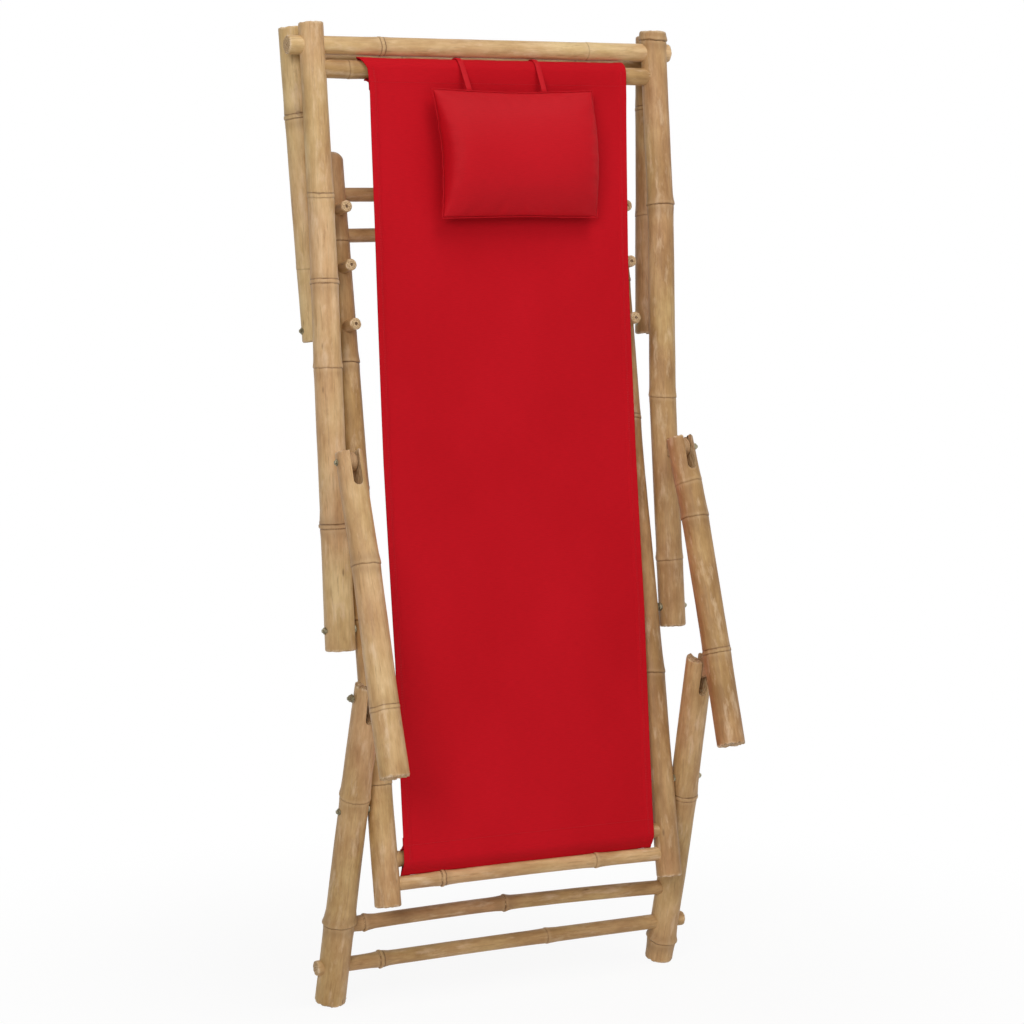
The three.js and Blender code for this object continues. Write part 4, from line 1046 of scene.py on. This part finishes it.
def pillow_points():
    """Corners, faces and the seam's loop of a thin bag: both faces share the seam's points."""
    points, faces = [], []
    face_index = {"front": {}, "back": {}}
    for row in range(steps_high + 1):
        for column in range(steps_wide + 1):
            u, v = 2 * column / steps_wide - 1, 2 * row / steps_high - 1
            crown = max(0.0, (1 - u ** 4) * (1 - v ** 4)) ** 0.5
            x, z = half_width * u, half_height * v
            face_index["front"][row, column] = len(points)
            points.append((x, -0.016 * crown, z))
            if crown > 0:
                face_index["back"][row, column] = len(points)
                points.append((x, 0.008 * crown, z))
            else:
                face_index["back"][row, column] = face_index["front"][row, column]
    for row in range(steps_high):
        for column in range(steps_wide):
            ring = [(row, column), (row, column + 1), (row + 1, column + 1), (row + 1, column)]
            faces.append([face_index["front"][key] for key in ring])
            faces.append([face_index["back"][key] for key in reversed(ring)])
    loop = [(0, c) for c in range(steps_wide)] + [(r, steps_wide) for r in range(steps_high)]
    loop += [(steps_high, c) for c in range(steps_wide, 0, -1)] + [(r, 0) for r in range(steps_high, 0, -1)]
    return points, faces, [face_index["front"][key] for key in loop]


start_points, faces, seam_loop = pillow_points()
pillow = mesh_object("pillow_cushion", start_points, faces=faces)
start_points = np.array(start_points)
fill = pillow.modifiers.new("fill", "CLOTH")
fill.settings.quality = 6
fill.settings.mass = 0.2
fill.settings.tension_stiffness = 12
fill.settings.compression_stiffness = 6
fill.settings.shear_stiffness = 5
fill.settings.bending_stiffness = 0.4
fill.settings.use_pressure = True
fill.settings.uniform_pressure_force = 4
fill.settings.effector_weights.gravity = 0
fill.collision_settings.use_collision = False
for number in range(1, 21):
    bpy.context.scene.frame_set(number)
keep_result(pillow)
bpy.context.scene.frame_set(1)
filled = np.zeros(len(pillow.data.vertices) * 3)
pillow.data.vertices.foreach_get("co", filled)
filled = filled.reshape(-1, 3)
moved = filled - start_points
moved[:, (0, 2)] *= 0.05
far = np.linalg.norm(moved, axis=1, keepdims=True)
furthest = 0.030
filled = start_points + moved * np.minimum(1.0, furthest / np.maximum(far, 1e-9))
seam = filled[seam_loop]
filled[:, 0] *= half_width / np.abs(seam[:, 0]).max()
filled[:, 2] *= half_height / np.abs(seam[:, 2]).max()
filled[:, 1] -= seam[:, 1].mean()
ahead, behind = -filled[:, 1].min(), filled[:, 1].max()
depth = np.where(filled[:, 1] < 0, front_bulge / ahead, back_bulge / behind)
filled[:, 1] *= depth
across, up = start_points[:, 0] / half_width, start_points[:, 2] / half_height
stuffed = np.clip(1 - np.abs(across) ** 6, 0, 1) ** 0.42 * np.clip(1 - up ** 2, 0, 1) ** 0.86
stuffed *= np.where(start_points[:, 1] < 0, -front_bulge, back_bulge)
blown_share = 0.12
filled[:, 1] = blown_share * filled[:, 1] + (1 - blown_share) * stuffed
left_draw, right_swell, foot_draw, top_dip = 0.0075, 0.0030, 0.0085, 0.0030
filled[:, 0] += np.where(across < 0, left_draw, right_swell) * across ** 2 * (1 - np.abs(up) ** 1.6)
filled[:, 0] += foot_draw * np.clip(-across, 0, 1) * (1 - up) / 2
filled[:, 2] -= top_dip * np.clip(up, 0, 1) ** 2 * (1 - across ** 2)

# Soft dents fan out from the seam and the corners, and the filling has settled a little.
u, v = filled[:, 0] / half_width, filled[:, 2] / half_height
rim = np.clip(np.maximum(np.abs(u), np.abs(v)), 0, 1)
near_seam = np.exp(-((1 - rim) / 0.16) ** 2) * (1 - np.exp(-((1 - rim) / 0.04) ** 2))
around = np.arctan2(v, u)
dent_depth = 0.0011
dents = dent_depth * near_seam * (np.sin(around * 23 + 0.6) + 0.6 * np.sin(around * 41 + 2.0))
filled[:, 1] += np.where(filled[:, 1] < 0, 1, -1) * dents
filled[:, 1] *= 1 - 0.06 * v
pillow.data.vertices.foreach_set("co", filled.ravel())
seam = [Vector(filled[index]) for index in seam_loop]
pillow_weave, cord_weave, ribbon_weave = 3.0, 5.0, 7.0
lay_weave(pillow, [(float(x), float(z) + pillow_weave) for x, _, z in start_points])
pillow.data.shade_smooth()
pillow.data.materials.clear()
pillow.data.materials.append(pillow_finish)
pillow.data.transform(pillow_place)
rounder = pillow.modifiers.new("rounder", "SUBSURF")
rounder.levels = rounder.render_levels = 1
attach(pillow, "pillow")
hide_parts("pillow")

# The seam's cord: the two faces' edges turned in and sewn, a thin raised line all the way round.
cord_tree, given = new_tree("Seam cord", [("Cord Radius", "Float"), ("Finish", "Material")])
track = step(cord_tree, "GeometryNodeMeshToCurve", {"Mesh": given["Geometry"]}).outputs[0]
circle = step(cord_tree, "GeometryNodeCurvePrimitiveCircle", {
    "Resolution": 8, "Radius": given["Cord Radius"]})
tube = step(cord_tree, "GeometryNodeCurveToMesh", {"Curve": track, "Profile Curve": circle.outputs[0]})
end_tree(tube.outputs[0], given["Finish"], sharp_past=180)
seam_cord = mesh_object("pillow_seam", seam, edges=[(i, (i + 1) % len(seam)) for i in range(len(seam))])
run_tree(cord_tree, seam_cord, {"Cord Radius": 0.0008, "Finish": pillow_finish})
lay_weave(seam_cord, [(corner.co.x, corner.co.z + cord_weave) for corner in seam_cord.data.vertices])
seam_cord.data.transform(pillow_place)
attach(seam_cord, "pillow")


# PILLOW LOOPS. Two narrow ribbons of the same cloth, sewn into the pillow's top seam.
# They go up over the sleeve on the upper hem rail and are caught behind it.
ribbon_wide, ribbon_thick, ribbon_clear = 0.0078, 0.0016, 0.0012
caught_past, sewn_deep, spread_within = 196, 0.001, 0.045
ribbon_shares = (-0.5, -0.46, -0.3, 0.0, 0.3, 0.46, 0.5)
over_radius = upper_sleeve + cloth_thick / 2 + ribbon_thick / 2 + ribbon_clear
top_seam = [p for p in seam if p.z > 0.8 * half_height]
for side, low_x, high_x in (("left", -0.048, -0.052), ("right", 0.073, 0.072)):
    caught = min(top_seam, key=lambda p: abs(p.x + pillow_x - low_x))
    foot = back_place.inverted() @ (pillow_place @ caught) - Vector((0, 0, upper_hem_height))
    foot = Vector((0, foot.y, foot.z - sewn_deep))
    touch = math.atan2(foot.z, -foot.y) + math.acos(over_radius / foot.length)
    turns = np.linspace(touch, math.radians(caught_past), 18)
    over_rail = [Vector((0, -over_radius * math.cos(a), over_radius * math.sin(a))) for a in turns]
    path = [foot.lerp(over_rail[0], share) for share in np.linspace(0, 1, 7)[:-1]] + over_rail
    gone = [0.0]
    for a, b in zip(path, path[1:]):
        gone.append(gone[-1] + (b - a).length)
    bottom_x = caught.x + pillow_x
    rising = [min(1.0, g / spread_within) for g in gone]
    columns = len(ribbon_shares)
    strip, quads = [], []
    for index, (spot, rise) in enumerate(zip(path, rising)):
        x = bottom_x + (high_x - low_x) * rise
        tangent = path[min(index + 1, len(path) - 1)] - path[max(index - 1, 0)]
        outward = Vector((0, -tangent.z, tangent.y)).normalized()
        for share in ribbon_shares:
            crown = 0.0003 * (1 - (2 * share) ** 2)
            strip.append(spot + Vector((x + share * ribbon_wide, 0, upper_hem_height)) + outward * crown)
    for row in range(len(path) - 1):
        for k in range(row * columns, (row + 1) * columns - 1):
            quads.append((k, k + 1, k + 1 + columns, k + columns))
    ribbon = mesh_object("pillow_ribbon_" + side, strip, faces=quads)
    lay_weave(ribbon, [(column * ribbon_wide / (columns - 1), far_along + ribbon_weave)
                       for far_along in gone for column in range(columns)])
    ribbon.data.shade_smooth()
    ribbon.data.materials.append(pillow_finish)
    thicken(ribbon, ribbon_thick)
    ribbon.data.transform(back_place)
    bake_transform(ribbon)
    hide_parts("pillow_loop_" + side)


# CAMERA AND STUDIO. A white floor that keeps the chair's soft shadow, white all round for the camera,
# two large soft lamps at the upper left and overhead, and a weak one at the right.
camera_data = bpy.data.cameras.new("camera")
camera_data.lens, camera_data.sensor_width = 103.85, 36.0
camera_data.clip_end = 200.0
camera = bpy.data.objects.new("camera", camera_data)
bpy.context.scene.collection.objects.link(camera)
azimuth, pitch, roll = 0.463839, 0.098397, -0.0054448
camera_place = (-1.8976, -3.7656, 1.1200)
ahead = Vector((math.sin(azimuth) * math.cos(pitch), math.cos(azimuth) * math.cos(pitch), -math.sin(pitch)))
right_hand = Vector((math.cos(azimuth), -math.sin(azimuth), 0))
upright = right_hand.cross(ahead)
across = right_hand * math.cos(roll) + upright * math.sin(roll)
upward = upright * math.cos(roll) - right_hand * math.sin(roll)
camera_turn = Matrix((across, upward, -ahead)).transposed().to_4x4()
camera.matrix_world = Matrix.Translation(camera_place) @ camera_turn
bpy.context.scene.camera = camera


def looked_at(tree):
    """1 for what the camera sees, also in a gloss or through glass, and 0 for what only lights the chair."""
    rays = step(tree, "ShaderNodeLightPath").outputs
    return at_least(rays["Is Camera Ray"], at_least(rays["Is Glossy Ray"], rays["Is Transmission Ray"]))


floor_finish = bpy.data.materials.new("studio floor")
floor_finish.use_nodes = True
tree = floor_finish.node_tree
tree.nodes.clear()
paper = step(tree, "ShaderNodeBsdfDiffuse", {"Color": (0.9, 0.9, 0.9, 1.0)}).outputs[0]
glow = step(tree, "ShaderNodeEmission", {"Color": (1.0, 1.0, 1.0, 1.0), "Strength": 1.0}).outputs[0]
from_chair = length_of(step(tree, "ShaderNodeTexCoord").outputs["Object"])
shade_ends, glow_full, least_glow = 0.2, 1.3, 0.92
fade = step(tree, "ShaderNodeMapRange", {0: from_chair, 1: shade_ends, 2: glow_full, 3: least_glow, 4: 1.0},
            interpolation_type="SMOOTHSTEP").outputs[0]
share_of_glow = times(looked_at(tree), fade)
both_looks = step(tree, "ShaderNodeMixShader", {0: share_of_glow, 1: paper, 2: glow}).outputs[0]
step(tree, "ShaderNodeOutputMaterial", {"Surface": both_looks})
floor_half = 40
floor_corners = [(x * floor_half, y * floor_half, 0) for x, y in ((-1, -1), (1, -1), (1, 1), (-1, 1))]
floor = mesh_object("floor", floor_corners, faces=[(0, 1, 2, 3)])
floor.data.materials.append(floor_finish)

world = bpy.data.worlds.new("studio")
bpy.context.scene.world = world
world.use_nodes = True
tree = world.node_tree
tree.nodes.clear()
soft_light = step(tree, "ShaderNodeBackground", {
    "Color": (1.0, 0.975, 0.94, 1.0), "Strength": 0.185}).outputs[0]
white = step(tree, "ShaderNodeBackground", {"Color": (1.0, 1.0, 1.0, 1.0), "Strength": 1.0}).outputs[0]
both_looks = step(tree, "ShaderNodeMixShader", {0: looked_at(tree), 1: soft_light, 2: white}).outputs[0]
step(tree, "ShaderNodeOutputWorld", {"Surface": both_looks})

aim_at = Vector((0, 0, 0.75))
for name, place, size, power, tint in (
        ("key", (-3.2, -4.0, 2.9), 2.4, 118.0, (1.0, 0.98, 0.95)),
        ("overhead", (0.5, -2.3, 5.2), 2.2, 102.0, (1.0, 0.98, 0.95)),
        ("fill", (2.6, -3.4, 1.4), 2.6, 12.5, (1.0, 0.985, 0.96))):
    lamp_data = bpy.data.lights.new(name, "AREA")
    lamp_data.size, lamp_data.energy, lamp_data.color = size, power, tint
    lamp = bpy.data.objects.new(name, lamp_data)
    bpy.context.scene.collection.objects.link(lamp)
    aim = (aim_at - Vector(place)).to_track_quat("-Z", "Y")
    lamp.matrix_world = Matrix.Translation(place) @ aim.to_matrix().to_4x4()

bpy.context.scene.view_settings.view_transform = "Standard"
